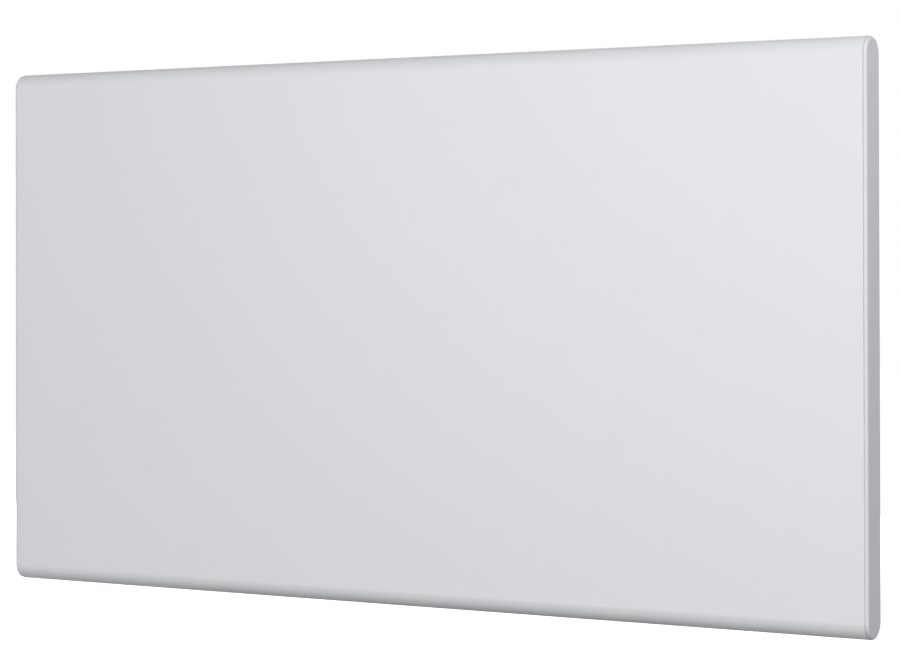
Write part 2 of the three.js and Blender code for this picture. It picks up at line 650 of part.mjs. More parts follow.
// A strip of the sheet pushed out over its opening, so that air passes above and below it.
function louvreBridge(z) {
  const middle = BACK_PANEL_Y - BACK_WALL / 2;
  const crest = middle + LOUVRE_REACH;
  const half = LOUVRE_LENGTH / 2;
  const corners = [
    at(BAY_MID_X - half - LOUVRE_ROOT, middle),
    at(BAY_MID_X - half, middle),
    at(BAY_MID_X - half + LOUVRE_SLOPE, crest),
    at(BAY_MID_X + half - LOUVRE_SLOPE, crest),
    at(BAY_MID_X + half, middle),
    at(BAY_MID_X + half + LOUVRE_ROOT, middle),
  ];
  const reach = LOUVRE_OPENING / 2 - SEAT_GAP;
  return alongZ(sheetOutline(corners, BACK_WALL, THIN_BEND), z - reach, z + reach);
}

function backPanel() {
  const screws = [-SCREW_X, SCREW_X].flatMap((x) =>
    SCREW_PLACE_SHARES.map((share) =>
      roundOutline(x, share * CASING_HEIGHT, BACK_SCREW_RADIUS + SEAT_GAP, SMALL_FACETS),
    ),
  );
  const gland = roundOutline(BAY_MID_X, GLAND_Z, GLAND_BODY_RADIUS + SEAT_GAP, ROUND_FACETS);
  const louvres = louvrePlaces().map((z) => boxOutline(BAY_MID_X, z, LOUVRE_LENGTH, LOUVRE_OPENING));
  const openings = [...bracketSlots(), ...screws, gland, ...louvres].map((outline) =>
    alongY(outline, BACK_PANEL_INNER_Y - CUT_OVERRUN, BACK_Y + CUT_OVERRUN),
  );
  return join(cut(backSheet(), ...openings), ...louvrePlaces().map(louvreBridge));
}

function backScrew(x, z) {
  const tip = -BACK_SCREW_LENGTH;
  const edge = BACK_SCREW_HEAD_HEIGHT / 2;
  const profile = [
    at(0, tip),
    at(BACK_SCREW_RADIUS, tip + BACK_SCREW_RADIUS),
    at(BACK_SCREW_RADIUS, 0),
    at(BACK_SCREW_HEAD_RADIUS, 0),
    ...arc(BACK_SCREW_HEAD_RADIUS - edge, edge, edge, 0, Math.PI / 2, HEAD_FACETS),
    at(0, BACK_SCREW_HEAD_HEIGHT),
  ];
  return turned(profile, LATHE_ON_Y, [x, BACK_SEAT_Y, z], SMALL_FACETS);
}

// A hat section behind the slots. It keeps the heated space closed and stiffens the back panel.
function slotCover(middle) {
  const foot = INSIDE_BACK_Y - COVER_WALL / 2;
  const crown = COVER_FRONT_Y + COVER_WALL / 2;
  const half = (COVER_WIDTH - COVER_WALL) / 2;
  const corners = [
    at(middle - half - COVER_FOOT, foot),
    at(middle - half, foot),
    at(middle - half, crown),
    at(middle + half, crown),
    at(middle + half, foot),
    at(middle + half + COVER_FOOT, foot),
  ];
  const reach = BACK_PANEL_HALF_HEIGHT - COVER_END_INSET;
  return alongZ(sheetOutline(corners, COVER_WALL, THIN_BEND), -reach, reach);
}

// Heated stack

function stackLayer(front, rear) {
  const middle = (STACK_LEFT_X + STACK_RIGHT_X) / 2;
  const length = STACK_RIGHT_X - STACK_LEFT_X;
  return alongY(roundedOutline(middle, 0, length, 2 * STACK_HALF_HEIGHT, STACK_CORNER), front, rear);
}

// One edge of the track, half its width to the left (1) or to the right (-1) of the way along it.
function trackEdge(left) {
  const half = (left * TRACK_WIDTH) / 2;
  const bend = TRACK_PITCH / 2;
  const inset = TRACK_EDGE + bend + TRACK_WIDTH / 2;
  const turns = Array.from({ length: TRACK_RUNS - 1 }, (_, index) => {
    const z = TRACK_BOTTOM_Z + (index + 1 / 2) * TRACK_PITCH;
    return index % 2 === 0
      ? arc(STACK_RIGHT_X - inset, z, bend - half, -Math.PI / 2, Math.PI / 2, TRACK_FACETS)
      : arc(STACK_LEFT_X + inset, z, bend + half, -Math.PI / 2, (-3 * Math.PI) / 2, TRACK_FACETS);
  });
  return [at(TRACK_END_X, TRACK_BOTTOM_Z + half), ...turns.flat(), at(TRACK_END_X, -TRACK_BOTTOM_Z - half)];
}

// A flat ribbon that runs back and forth; its two tails pass through the divider into the bay.
function heatingTrack() {
  return alongY([...trackEdge(1), ...trackEdge(-1).reverse()], TRACK_Y, TRACK_Y + TRACK_WALL);
}

function bayDivider() {
  const middle = DIVIDER_X + DIVIDER_WALL / 2;
  const reach = DIVIDER_X - DIVIDER_FLANGE;
  const front = INSIDE_FRONT_Y + DIVIDER_WALL / 2;
  const rear = INSIDE_BACK_Y - DIVIDER_WALL / 2;
  const corners = [at(reach, front), at(middle, front), at(middle, rear), at(reach, rear)];
  const outline = sheetOutline(corners, DIVIDER_WALL, THIN_BEND);
  const tailSlots = [-TRACK_BOTTOM_Z, TRACK_BOTTOM_Z].map((z) =>
    boxOutline(
      TRACK_Y + TRACK_WALL / 2,
      z,
      TRACK_WALL + 2 * TAIL_SLOT_GAP,
      TRACK_WIDTH + 2 * TAIL_SLOT_GAP,
    ),
  );
  const sensorHole = roundOutline(MID_Y, CUTOUT_Z, CUTOUT_CAP_RADIUS + SEAT_GAP, ROUND_FACETS);
  const openings = [...tailSlots, sensorHole].map((hole) =>
    alongX(hole, DIVIDER_X - CUT_OVERRUN, DIVIDER_X + DIVIDER_WALL + CUT_OVERRUN),
  );
  return cut(alongZ(outline, -STACK_HALF_HEIGHT, STACK_HALF_HEIGHT), ...openings);
}

// Electrical pieces

// A flat tab that stands out along X from a face and is rooted in the body behind it.
function tab(y, z, spanY, spanZ, face, outward) {
  return alongX(boxOutline(y, z, spanY, spanZ), face - outward * TAB_ROOT, face + outward * TAB_LENGTH);
}

function thermalCutout() {
  const profile = [
    at(0, CUTOUT_SEAT_X + CUTOUT_CAP_HEIGHT),
    at(CUTOUT_CAP_RADIUS, CUTOUT_SEAT_X + CUTOUT_CAP_HEIGHT),
    at(CUTOUT_CAP_RADIUS, CUTOUT_SEAT_X),
    at(CUTOUT_RIM, CUTOUT_SEAT_X),
    at(CUTOUT_RIM, CUTOUT_SEAT_X - CUTOUT_RIM_HEIGHT),
    at(CUTOUT_RADIUS, CUTOUT_SEAT_X - CUTOUT_RIM_HEIGHT),
    at(CUTOUT_RADIUS, CUTOUT_END_X),
    at(0, CUTOUT_END_X),
  ];
  const body = turned(profile, LATHE_ON_X, [0, MID_Y, CUTOUT_Z], ROUND_FACETS);
  const tabs = countedPlaces(2, TAB_SPACING).map((back) =>
    tab(MID_Y + back, CUTOUT_Z, TAB_WALL, TAB_WIDTH, CUTOUT_END_X, -1),
  );
  return join(body, ...tabs);
}

function thermalFuse() {
  const half = FUSE_LENGTH / 2;
  const profile = [
    at(0, -half),
    at(LEAD_RADIUS, -half),
    at(FUSE_RADIUS, FUSE_TAPER - half),
    at(FUSE_RADIUS, half - FUSE_TAPER),
    at(LEAD_RADIUS, half),
    at(0, half),
  ];
  return turned(profile, LATHE_ON_Z, [FUSE_X, MID_Y, FUSE_Z], SMALL_FACETS);
}

function terminalBlock() {
  const outside = TERMINAL_FRONT_Y - CUT_OVERRUN;
  const half = TERMINAL_HEIGHT / 2;
  const outline = boxOutline(BAY_MID_X, TERMINAL_Z, TERMINAL_COUNT * TERMINAL_PITCH, TERMINAL_HEIGHT);
  const slots = countedPlaces(TERMINAL_COUNT - 1, TERMINAL_PITCH).map((across) => {
    const slot = boxOutline(BAY_MID_X + across, TERMINAL_Z, TERMINAL_SLOT, TERMINAL_HEIGHT + CUT_OVERRUN);
    return alongY(slot, outside, INSIDE_BACK_Y - TERMINAL_BASE);
  });
  const poles = countedPlaces(TERMINAL_COUNT, TERMINAL_PITCH).flatMap((across) => {
    const x = BAY_MID_X + across;
    const screw = roundOutline(x, TERMINAL_Z, TERMINAL_SCREW_RADIUS, SMALL_FACETS);
    const entry = roundOutline(x, TERMINAL_ENTRY_Y, TERMINAL_ENTRY_RADIUS, SMALL_FACETS);
    const inner = half - TERMINAL_ENTRY_DEPTH;
    const outer = half + CUT_OVERRUN;
    return [
      alongY(screw, outside, TERMINAL_FRONT_Y + TERMINAL_SCREW_DEPTH),
      alongZ(entry, TERMINAL_Z + inner, TERMINAL_Z + outer),
      alongZ(entry, TERMINAL_Z - outer, TERMINAL_Z - inner),
    ];
  });
  return cut(alongY(outline, TERMINAL_FRONT_Y, INSIDE_BACK_Y), ...slots, ...poles);
}

function earthStud() {
  const end = -EARTH_STUD_LENGTH;
  const profile = [
    at(0, 0),
    at(EARTH_FOOT_RADIUS, 0),
    at(EARTH_FOOT_RADIUS, -EARTH_FOOT_HEIGHT),
    at(EARTH_STUD_RADIUS, -EARTH_FOOT_HEIGHT),
    at(EARTH_STUD_RADIUS, end + EARTH_STUD_RADIUS / 2),
    at(EARTH_STUD_RADIUS / 2, end),
    at(0, end),
  ];
  return turned(profile, LATHE_ON_Y, [EARTH_X, INSIDE_BACK_Y, EARTH_Z], SMALL_FACETS);
}

// A six-sided nut on the Y axis, with its outer face at a given depth.
function nutOnY(x, z, radius, bore, face, height) {
  const hole = alongY(
    roundOutline(x, z, bore, ROUND_FACETS),
    face - height - CUT_OVERRUN,
    face + CUT_OVERRUN,
  );
  return cut(alongY(hexagonOutline(x, z, radius), face - height, face), hole);
}

function earthNut() {
  const face = INSIDE_BACK_Y - EARTH_FOOT_HEIGHT - SEAT_GAP;
  return nutOnY(EARTH_X, EARTH_Z, EARTH_NUT_RADIUS, EARTH_STUD_RADIUS + SEAT_GAP, face, EARTH_NUT_HEIGHT);
}

// The inlet for the supply cord: a domed flange outside the back panel and a hollow body through it.
function cordGland() {
  const dome = GLAND_FLANGE_HEIGHT + GLAND_DOME_HEIGHT;
  const shoulder = GLAND_FLANGE_RADIUS - GLAND_DOME_HEIGHT;
  const profile = [
    at(GLAND_BORE_RADIUS, -GLAND_BODY_LENGTH),
    at(GLAND_BODY_RADIUS, -GLAND_BODY_LENGTH),
    at(GLAND_BODY_RADIUS, 0),
    at(GLAND_FLANGE_RADIUS, 0),
    ...arc(shoulder, GLAND_FLANGE_HEIGHT, GLAND_DOME_HEIGHT, 0, Math.PI / 2, EDGE_FACETS),
    at(GLAND_BORE_RADIUS, dome),
  ];
  return turned(profile, LATHE_ON_Y, [BAY_MID_X, BACK_SEAT_Y, GLAND_Z], ROUND_FACETS);
}

function glandNut() {
  const bore = GLAND_BODY_RADIUS + SEAT_GAP;
  return nutOnY(BAY_MID_X, GLAND_Z, GLAND_NUT_RADIUS, bore, INSIDE_BACK_Y, GLAND_NUT_HEIGHT);
}

// Controls

function controlBracket() {
  const middle = CONTROL_PLATE_X + CONTROL_PLATE_WALL / 2;
  const rear = INSIDE_BACK_Y - CONTROL_PLATE_WALL / 2;
  const corners = [at(middle, INSIDE_FRONT_Y), at(middle, rear), at(CONTROL_PLATE_X + CONTROL_FLANGE, rear)];
  const outline = sheetOutline(corners, CONTROL_PLATE_WALL, BRACKET_BEND);
  const sheet = alongZ(outline, VENT_Z - CONTROL_PLATE_MARGIN, DIAL_Z + CONTROL_PLATE_MARGIN);
  const windows = [
    roundOutline(MID_Y, DIAL_Z, BUSHING_RADIUS + SEAT_GAP, ROUND_FACETS),
    boxOutline(MID_Y, SWITCH_Z, SWITCH_BODY_WIDTH, SWITCH_BODY_HEIGHT),
    roundedOutline(
      MID_Y - AIR_WINDOW_OFFSET,
      VENT_Z,
      AIR_WINDOW_WIDTH,
      AIR_WINDOW_HEIGHT,
      AIR_WINDOW_WIDTH / 2,
    ),
  ];
  const from = CONTROL_PLATE_X - CUT_OVERRUN;
  return cut(sheet, ...windows.map((window) => alongX(window, from, THERMOSTAT_X + CUT_OVERRUN)));
}

function thermostatBody() {
  const outline = roundedOutline(
    MID_Y,
    DIAL_Z,
    THERMOSTAT_WIDTH,
    THERMOSTAT_HEIGHT,
    THERMOSTAT_CORNER,
  );
  const bushing = roundOutline(MID_Y, DIAL_Z, BUSHING_RADIUS, ROUND_FACETS);
  const bore = roundOutline(MID_Y, DIAL_Z, SHAFT_RADIUS + SLIDE_GAP, ROUND_FACETS);
  const tabs = countedPlaces(2, TAB_SPACING).map((up) =>
    tab(MID_Y, DIAL_Z + up, TAB_WIDTH, TAB_WALL, THERMOSTAT_END_X, 1),
  );
  const body = join(
    alongX(outline, THERMOSTAT_X, THERMOSTAT_END_X),
    alongX(bushing, BUSHING_END_X, THERMOSTAT_X + TAB_ROOT),
    ...tabs,
  );
  return cut(body, alongX(bore, BUSHING_END_X - CUT_OVERRUN, THERMOSTAT_X + THERMOSTAT_BORE_DEPTH));
}

function thermostatNut() {
  const face = CONTROL_PLATE_X - SEAT_GAP;
  const hole = roundOutline(MID_Y, DIAL_Z, BUSHING_RADIUS + SEAT_GAP, ROUND_FACETS);
  return cut(
    alongX(hexagonOutline(MID_Y, DIAL_Z, BUSHING_NUT_RADIUS), face - BUSHING_NUT_HEIGHT, face),
    alongX(hole, face - BUSHING_NUT_HEIGHT - CUT_OVERRUN, face + CUT_OVERRUN),
  );
}

// A round with a flat on its upper side.
function flattedOutline(y, z, radius, flat) {
  const half = Math.acos((radius - flat) / radius);
  return arc(y, z, radius, Math.PI / 2 + half, (5 * Math.PI) / 2 - half, ROUND_FACETS);
}

function thermostatShaft() {
  const outer = DIAL_FACE_X + DIAL_FACE_WALL + SEAT_GAP;
  const inner = THERMOSTAT_X + THERMOSTAT_BORE_DEPTH - SLIDE_GAP;
  return alongX(flattedOutline(MID_Y, DIAL_Z, SHAFT_RADIUS, SHAFT_FLAT), outer, inner);
}

// The dial's rim rises and falls as a wave, so that fingers get a hold on it.
function gripOutline() {
  const count = DIAL_GRIPS * DIAL_GRIP_FACETS;
  return Array.from({ length: count }, (_, index) => {
    const angle = (2 * Math.PI * index) / count;
    const radius = DIAL_RADIUS - (DIAL_GRIP_DEPTH * (1 - Math.cos(DIAL_GRIPS * angle))) / 2;
    return at(MID_Y + radius * Math.cos(angle), DIAL_Z + radius * Math.sin(angle));
  });
}

function thermostatDial() {
  const grip = roundedAlongX(gripOutline(), DIAL_FACE_X, DIAL_BACK_X, DIAL_EDGE_RADIUS, DIAL_EDGE_FACETS);
  const hub = roundOutline(MID_Y, DIAL_Z, DIAL_HUB_RADIUS, ROUND_FACETS);
  const hubEnd = DIAL_BACK_X + DIAL_HUB_LENGTH;
  const bore = flattedOutline(MID_Y, DIAL_Z, SHAFT_RADIUS + SEAT_GAP, SHAFT_FLAT);
  const pointerStart = DIAL_Z + DIAL_HUB_RADIUS;
  const pointerEnd = DIAL_Z + DIAL_RADIUS - DIAL_POINTER_INSET;
  const pointer = boxOutline(
    MID_Y,
    (pointerStart + pointerEnd) / 2,
    DIAL_POINTER_WIDTH,
    pointerEnd - pointerStart,
  );
  return cut(
    join(grip, alongX(hub, DIAL_BACK_X - TAB_ROOT, hubEnd)),
    alongX(bore, DIAL_FACE_X + DIAL_FACE_WALL, hubEnd + CUT_OVERRUN),
    alongX(pointer, DIAL_FACE_X - CUT_OVERRUN, DIAL_FACE_X + DIAL_POINTER_DEPTH),
  );
}

// A liquid-filled bulb behind the air slots and the thin tube from it to the thermostat.
function sensorCapillary() {
  const x = THERMOSTAT_X + BULB_RADIUS;
  const y = MID_Y + BULB_OFFSET;
  const half = BULB_LENGTH / 2;
  const profile = [
    at(0, -half),
    at(CAPILLARY_RADIUS, -half),
    at(BULB_RADIUS, BULB_TAPER - half),
    at(BULB_RADIUS, half - BULB_TAPER),
    at(CAPILLARY_RADIUS, half),
    at(0, half),
  ];
  const rise = [0, 0, CAPILLARY_HANDLE];
  const bulbTop = [x, y, VENT_Z + half - BULB_TAPER];
  const port = [x, MID_Y + CAPILLARY_OFFSET, DIAL_Z - THERMOSTAT_HEIGHT / 2 - SEAT_GAP];
  const capillary = tube(sweep([bulbTop, rise], [port, rise]), CAPILLARY_RADIUS, LEAD_SIDES, LEAD_STEPS);
  return join(turned(profile, LATHE_ON_Z, [x, y, VENT_Z], SMALL_FACETS), capillary);
}

function switchHousing() {
  const width = SWITCH_BODY_WIDTH;
  const height = SWITCH_BODY_HEIGHT;
  const bezel = roundedOutline(
    MID_Y,
    SWITCH_Z,
    width + 2 * SWITCH_BEZEL,
    height + 2 * SWITCH_BEZEL,
    SWITCH_BEZEL_CORNER,
  );
  const well = boxOutline(MID_Y, SWITCH_Z, width - 2 * SWITCH_WALL, height - 2 * SWITCH_WALL);
  const floor = PIVOT_X + Math.hypot(ROCKER_KEEL, ROCKER_KEEL_WIDTH / 2) + KEEL_CLEARANCE;
  const pinHole = roundOutline(PIVOT_X, SWITCH_Z, ROCKER_PIN_RADIUS + SLIDE_GAP, SMALL_FACETS);
  const catches = [-1, 1].map((up) => {
    const edge = SWITCH_Z + (up * height) / 2;
    const seat = SEAT_GAP - SEAM_X;
    const outline = [
      at(seat, edge - up * SWITCH_WALL),
      at(seat, edge + up * SWITCH_CATCH_REACH),
      at(seat + SWITCH_CATCH_LENGTH, edge - up * SWITCH_WALL),
    ];
    return alongY(outline, MID_Y - SWITCH_CATCH_WIDTH / 2, MID_Y + SWITCH_CATCH_WIDTH / 2);
  });
  const tabs = countedPlaces(2, TAB_SPACING).map((up) =>
    tab(MID_Y, SWITCH_Z + up, TAB_WIDTH, TAB_WALL, SWITCH_END_X, 1),
  );
  const body = join(
    alongX(bezel, SWITCH_FACE_X, SWITCH_SEAT_X),
    alongX(boxOutline(MID_Y, SWITCH_Z, width, height), SWITCH_FACE_X, SWITCH_END_X),
    ...catches,
    ...tabs,
  );
  return cut(
    body,
    alongX(well, SWITCH_FACE_X - CUT_OVERRUN, floor),
    alongY(pinHole, MID_Y - width / 2 - CUT_OVERRUN, MID_Y + width / 2 + CUT_OVERRUN),
  );
}

// The rocker's two faces meet in a dip. It is shown with its upper end standing out, which is off.
function switchRocker() {
  const slope = Math.tan(ROCKER_THROW);
  const keel = ROCKER_KEEL_WIDTH / 2;
  const under = ROCKER_DIP - ROCKER_WALL;
  const section = [
    [0, ROCKER_DIP],
    [ROCKER_HALF_LENGTH, ROCKER_END_HEIGHT],
    [ROCKER_HALF_LENGTH, ROCKER_END_HEIGHT - ROCKER_WALL],
    [keel, under + keel * slope],
    [keel, -ROCKER_KEEL],
    [-keel, -ROCKER_KEEL],
    [-keel, under + keel * slope],
    [-ROCKER_HALF_LENGTH, ROCKER_END_HEIGHT - ROCKER_WALL],
    [-ROCKER_HALF_LENGTH, ROCKER_END_HEIGHT],
  ];
  const outline = section.map(([up, out]) => {
    const turnedUp = up * Math.cos(ROCKER_THROW) - out * Math.sin(ROCKER_THROW);
    const turnedOut = out * Math.cos(ROCKER_THROW) + up * Math.sin(ROCKER_THROW);
    return at(PIVOT_X - turnedOut, SWITCH_Z + turnedUp);
  });
  const half = ROCKER_WIDTH / 2;
  const pin = roundOutline(PIVOT_X, SWITCH_Z, ROCKER_PIN_RADIUS, SMALL_FACETS);
  return join(
    alongY(outline, MID_Y - half, MID_Y + half),
    alongY(pin, MID_Y - half - ROCKER_PIN_REACH, MID_Y + half + ROCKER_PIN_REACH),
  );
}

// Wires. Each end stops just short of the tab, tail or pole that it is joined to.

function leadEnds() {
  const tabReach = TAB_LENGTH + SEAT_GAP;
  const tabUp = TAB_SPACING / 2;
  const poleZ = TERMINAL_TOP_Z - TERMINAL_ENTRY_DEPTH + SEAT_GAP;
  const fuseReach = FUSE_LENGTH / 2 + SEAT_GAP;
  const tailY = TRACK_Y + TRACK_WALL / 2;
  const earthY = INSIDE_BACK_Y - EARTH_FOOT_HEIGHT - 2 * SEAT_GAP - EARTH_NUT_HEIGHT - LEAD_RADIUS;
  return {
    earthPole: [EARTH_X, TERMINAL_ENTRY_Y, poleZ],
    livePole: [BAY_MID_X, TERMINAL_ENTRY_Y, poleZ],
    neutralPole: [BAY_MID_X + TERMINAL_PITCH, TERMINAL_ENTRY_Y, poleZ],
    earthStud: [EARTH_X, earthY, EARTH_Z - EARTH_STUD_RADIUS - SEAT_GAP],
    switchLower: [SWITCH_END_X + tabReach, MID_Y, SWITCH_Z - tabUp],
    switchUpper: [SWITCH_END_X + tabReach, MID_Y, SWITCH_Z + tabUp],
    thermostatLower: [THERMOSTAT_END_X + tabReach, MID_Y, DIAL_Z - tabUp],
    thermostatUpper: [THERMOSTAT_END_X + tabReach, MID_Y, DIAL_Z + tabUp],
    cutoutFront: [CUTOUT_END_X - tabReach, MID_Y - tabUp, CUTOUT_Z],
    cutoutRear: [CUTOUT_END_X - tabReach, MID_Y + tabUp, CUTOUT_Z],
    topTail: [TAIL_WIRE_X, tailY, -TRACK_BOTTOM_Z],
    bottomTail: [TAIL_WIRE_X, tailY, TRACK_BOTTOM_Z],
    fuseLower: [FUSE_X, MID_Y, FUSE_Z - fuseReach],
    fuseUpper: [FUSE_X, MID_Y, FUSE_Z + fuseReach],
  };
}

// Every wire, by its name: where it starts and how it leaves, where it ends and how it arrives.
function leadRuns() {
  const ends = leadEnds();
  const right = [LEAD_LEAVE, 0, 0];
  const left = [-LEAD_LEAVE, 0, 0];
  const up = [0, 0, LEAD_LEAVE];
  const farUp = [0, 0, LEAD_RISE];
  const down = [0, 0, -LEAD_LEAVE];
  const shortUp = [0, 0, EARTH_LEAD_LEAVE];
  return {
    lead_live: [[ends.livePole, farUp], [ends.switchLower, left]],
    lead_switched: [[ends.switchUpper, right], [ends.thermostatLower, left]],
    lead_to_cutout: [[ends.thermostatUpper, right], [ends.cutoutFront, right]],
    lead_to_track: [[ends.cutoutRear, left], [ends.topTail, right]],
    lead_to_fuse: [[ends.bottomTail, left], [ends.fuseLower, up]],
    lead_neutral: [[ends.fuseUpper, farUp], [ends.neutralPole, down]],
    lead_earth: [[ends.earthPole, shortUp], [ends.earthStud, shortUp]],
  };
}

// Wall bracket

// A channel with inturned lips, hooks for the panel, a stop and a spring seat for its latch.
function bracketArm(middle) {
  const half = BRACKET_WALL / 2;
  const tip = ARM_WIDTH / 2 - ARM_LIP;
  const front = half - ARM_DEPTH;
  const corners = [
    at(middle - tip, front),
    at(middle - ARM_FLANGE_X, front),
    at(middle - ARM_FLANGE_X, -half),
    at(middle + ARM_FLANGE_X, -half),
    at(middle + ARM_FLANGE_X, front),
    at(middle + tip, front),
  ];
  const outline = sheetOutline(corners, BRACKET_WALL, BRACKET_BEND);
  const channel = alongZ(outline, -ARM_HALF_LENGTH, ARM_HALF_LENGTH);
  const hooks = [-ARM_FLANGE_X, ARM_FLANGE_X].map((across) =>
    alongX(hookOutline(), middle + across - half, middle + across + half),
  );
  const stopZ = LATCH_TOP_Z + SEAT_GAP;
  const stop = shelf(middle, LATCH_STOP_REACH, stopZ, stopZ + BRACKET_WALL);
  const seatReach = SPRING_RADIUS + SPRING_WIRE_RADIUS + SPRING_SEAT_MARGIN - CHANNEL_MID_Y;
  const seat = shelf(middle, seatReach, SPRING_SEAT_Z - BRACKET_WALL, SPRING_SEAT_Z);
  const wallHoles = WALL_SCREW_PLACE_SHARES.map((share) => {
    const hole = roundOutline(middle, share * ARM_HALF_LENGTH, WALL_SCREW_RADIUS, ROUND_FACETS);
    return alongY(hole, -BRACKET_WALL - CUT_OVERRUN, CUT_OVERRUN);
  });
  const flange = Math.sign(middle) * (Math.abs(middle) - ARM_FLANGE_X);
  return cut(join(channel, ...hooks, stop, seat), ...wallHoles, ...rivetHoles(flange));
}

function hookOutline() {
  const root = HOOK_ROOT_DEPTH + BRACKET_BEND - ARM_DEPTH;
  const top = HOOK_Z + HOOK_LIP_HEIGHT;
  const bottom = HOOK_Z - HOOK_ROOT_HEIGHT;
  return [
    at(root, HOOK_Z),
    at(HOOK_LIP_Y, HOOK_Z),
    at(HOOK_LIP_Y, top),
    at(COVER_TIP_Y + HOOK_CHAMFER, top),
    at(COVER_TIP_Y, top - HOOK_CHAMFER),
    at(COVER_TIP_Y, bottom + HOOK_CHAMFER),
    at(COVER_TIP_Y + HOOK_CHAMFER, bottom),
    at(root, bottom),
  ];
}

// A small plate that stands out from the arm's web.
function shelf(middle, reach, from, to) {
  const root = BRACKET_WALL / 2;
  return alongZ(boxOutline(middle, -(reach + root) / 2, LATCH_STOP_WIDTH, reach - root), from, to);
}

function rivetHoles(x) {
  return countedPlaces(2, RIVET_SPACING).map((z) => {
    const hole = roundOutline(CHANNEL_MID_Y, z, RIVET_RADIUS + SEAT_GAP, SMALL_FACETS);
    return alongX(hole, x - BRACKET_WALL / 2 - CUT_OVERRUN, x + BRACKET_WALL / 2 + CUT_OVERRUN);
  });
}

function bracketRail() {
  const half = BRACKET_WALL / 2;
  const end = ARM_X - ARM_WIDTH / 2 - SEAT_GAP - half;
  const corners = [at(-end, -RAIL_TAB), at(-end, -half), at(end, -half), at(end, -RAIL_TAB)];
  const outline = sheetOutline(corners, BRACKET_WALL, BRACKET_BEND);
  const slots = [-1, 1].map((side) => {
    const x = side * end * RAIL_SLOT_PLACE_SHARE;
    const slot = roundedOutline(x, 0, RAIL_SLOT_LENGTH, RAIL_SLOT_WIDTH, RAIL_SLOT_WIDTH / 2);
    return alongY(slot, -BRACKET_WALL - CUT_OVERRUN, CUT_OVERRUN);
  });
  const rail = alongZ(outline, -RAIL_HEIGHT / 2, RAIL_HEIGHT / 2);
  return cut(rail, ...slots, ...rivetHoles(-end), ...rivetHoles(end));
}

// A rivet through an arm's flange and the rail's tab, with a domed head on both sides.
function railRivet(side, z) {
  const grip = BRACKET_WALL + (3 * SEAT_GAP) / 2;
  const head = grip + RIVET_HEAD_HEIGHT;
  const profile = [
    at(0, -head),
    ...arc(RIVET_HEAD_RADIUS - RIVET_HEAD_HEIGHT, -grip, RIVET_HEAD_HEIGHT, -Math.PI / 2, 0, HEAD_FACETS),
    at(RIVET_RADIUS, -grip),
    at(RIVET_RADIUS, grip),
    ...arc(RIVET_HEAD_RADIUS - RIVET_HEAD_HEIGHT, grip, RIVET_HEAD_HEIGHT, 0, Math.PI / 2, HEAD_FACETS),
    at(0, head),
  ];
  const x = side * (ARM_X - (ARM_WIDTH + SEAT_GAP) / 2);
  return turned(profile, LATHE_ON_X, [x, CHANNEL_MID_Y, z], SMALL_FACETS);
}

// A sprung latch. Its neck passes between the arm's lips, and its nose holds the panel's top.
function latch(middle) {
  const wing = ARM_FLANGE_X - BRACKET_WALL / 2 - SLIDE_GAP;
  const rear = -BRACKET_WALL - SLIDE_GAP;
  const front = BRACKET_WALL + SLIDE_GAP - ARM_DEPTH;
  const section = roundedOutline(middle, CHANNEL_MID_Y, 2 * wing, rear - front, BRACKET_BEND);
  const neckBottom = LATCH_NECK_TOP_Z - LATCH_NECK_HEIGHT;
  const noseTop = LATCH_NECK_TOP_Z + LATCH_NOSE_HEIGHT;
  const nose = [
    at(CHANNEL_MID_Y, neckBottom),
    at(COVER_TIP_Y, neckBottom),
    at(COVER_TIP_Y, noseTop - LATCH_RAMP),
    at(COVER_TIP_Y + LATCH_RAMP, noseTop),
    at(HOOK_LIP_Y, noseTop),
    at(HOOK_LIP_Y, LATCH_NECK_TOP_Z),
    at(CHANNEL_MID_Y, LATCH_NECK_TOP_Z),
  ];
  const thumbTop = CASING_HEIGHT / 2 - LATCH_THUMB_INSET;
  const thumb = roundedOutline(
    middle,
    (thumbTop + LATCH_NECK_TOP_Z) / 2,
    LATCH_THUMB_WIDTH,
    thumbTop - LATCH_NECK_TOP_Z,
    LATCH_THUMB_RADIUS,
  );
  const thumbRear = -LATCH_STOP_REACH - LATCH_THUMB_GAP;
  const peg = roundOutline(middle, CHANNEL_MID_Y, LATCH_PEG_RADIUS, SMALL_FACETS);
  const body = join(
    alongZ(section, LATCH_BOTTOM_Z, LATCH_TOP_Z),
    alongX(nose, middle - LATCH_NECK_WIDTH / 2, middle + LATCH_NECK_WIDTH / 2),
    alongY(thumb, thumbRear - LATCH_THUMB_WALL, thumbRear),
    alongZ(peg, LATCH_BOTTOM_Z - LATCH_PEG_LENGTH, LATCH_BOTTOM_Z + TAB_ROOT),
  );
  const pockets = countedPlaces(2, LATCH_POCKET_SPACING).map((across) => {
    const z = (LATCH_BOTTOM_Z + LATCH_TOP_Z) / 2;
    const pocket = boxOutline(middle + across, z, LATCH_POCKET_WIDTH, LATCH_POCKET_HEIGHT);
    return alongY(pocket, rear - LATCH_POCKET_DEPTH, rear + CUT_OVERRUN);
  });
  return cut(body, ...pockets);
}

class Helix extends THREE.Curve {
  constructor(x, y, bottom, top) {
    super();
    Object.assign(this, { x, y, bottom, top });
  }

  getPoint(share, target = new THREE.Vector3()) {
    const angle = 2 * Math.PI * SPRING_TURNS * share;
    return target.set(
      this.x + SPRING_RADIUS * Math.cos(angle),
      this.y + SPRING_RADIUS * Math.sin(angle),
      THREE.MathUtils.lerp(this.bottom, this.top, share),
    );
  }
}

function springCurve(middle) {
  const bottom = SPRING_SEAT_Z + SEAT_GAP + SPRING_WIRE_RADIUS;
  return new Helix(middle, CHANNEL_MID_Y, bottom, SPRING_TOP_Z - SPRING_WIRE_RADIUS);
}

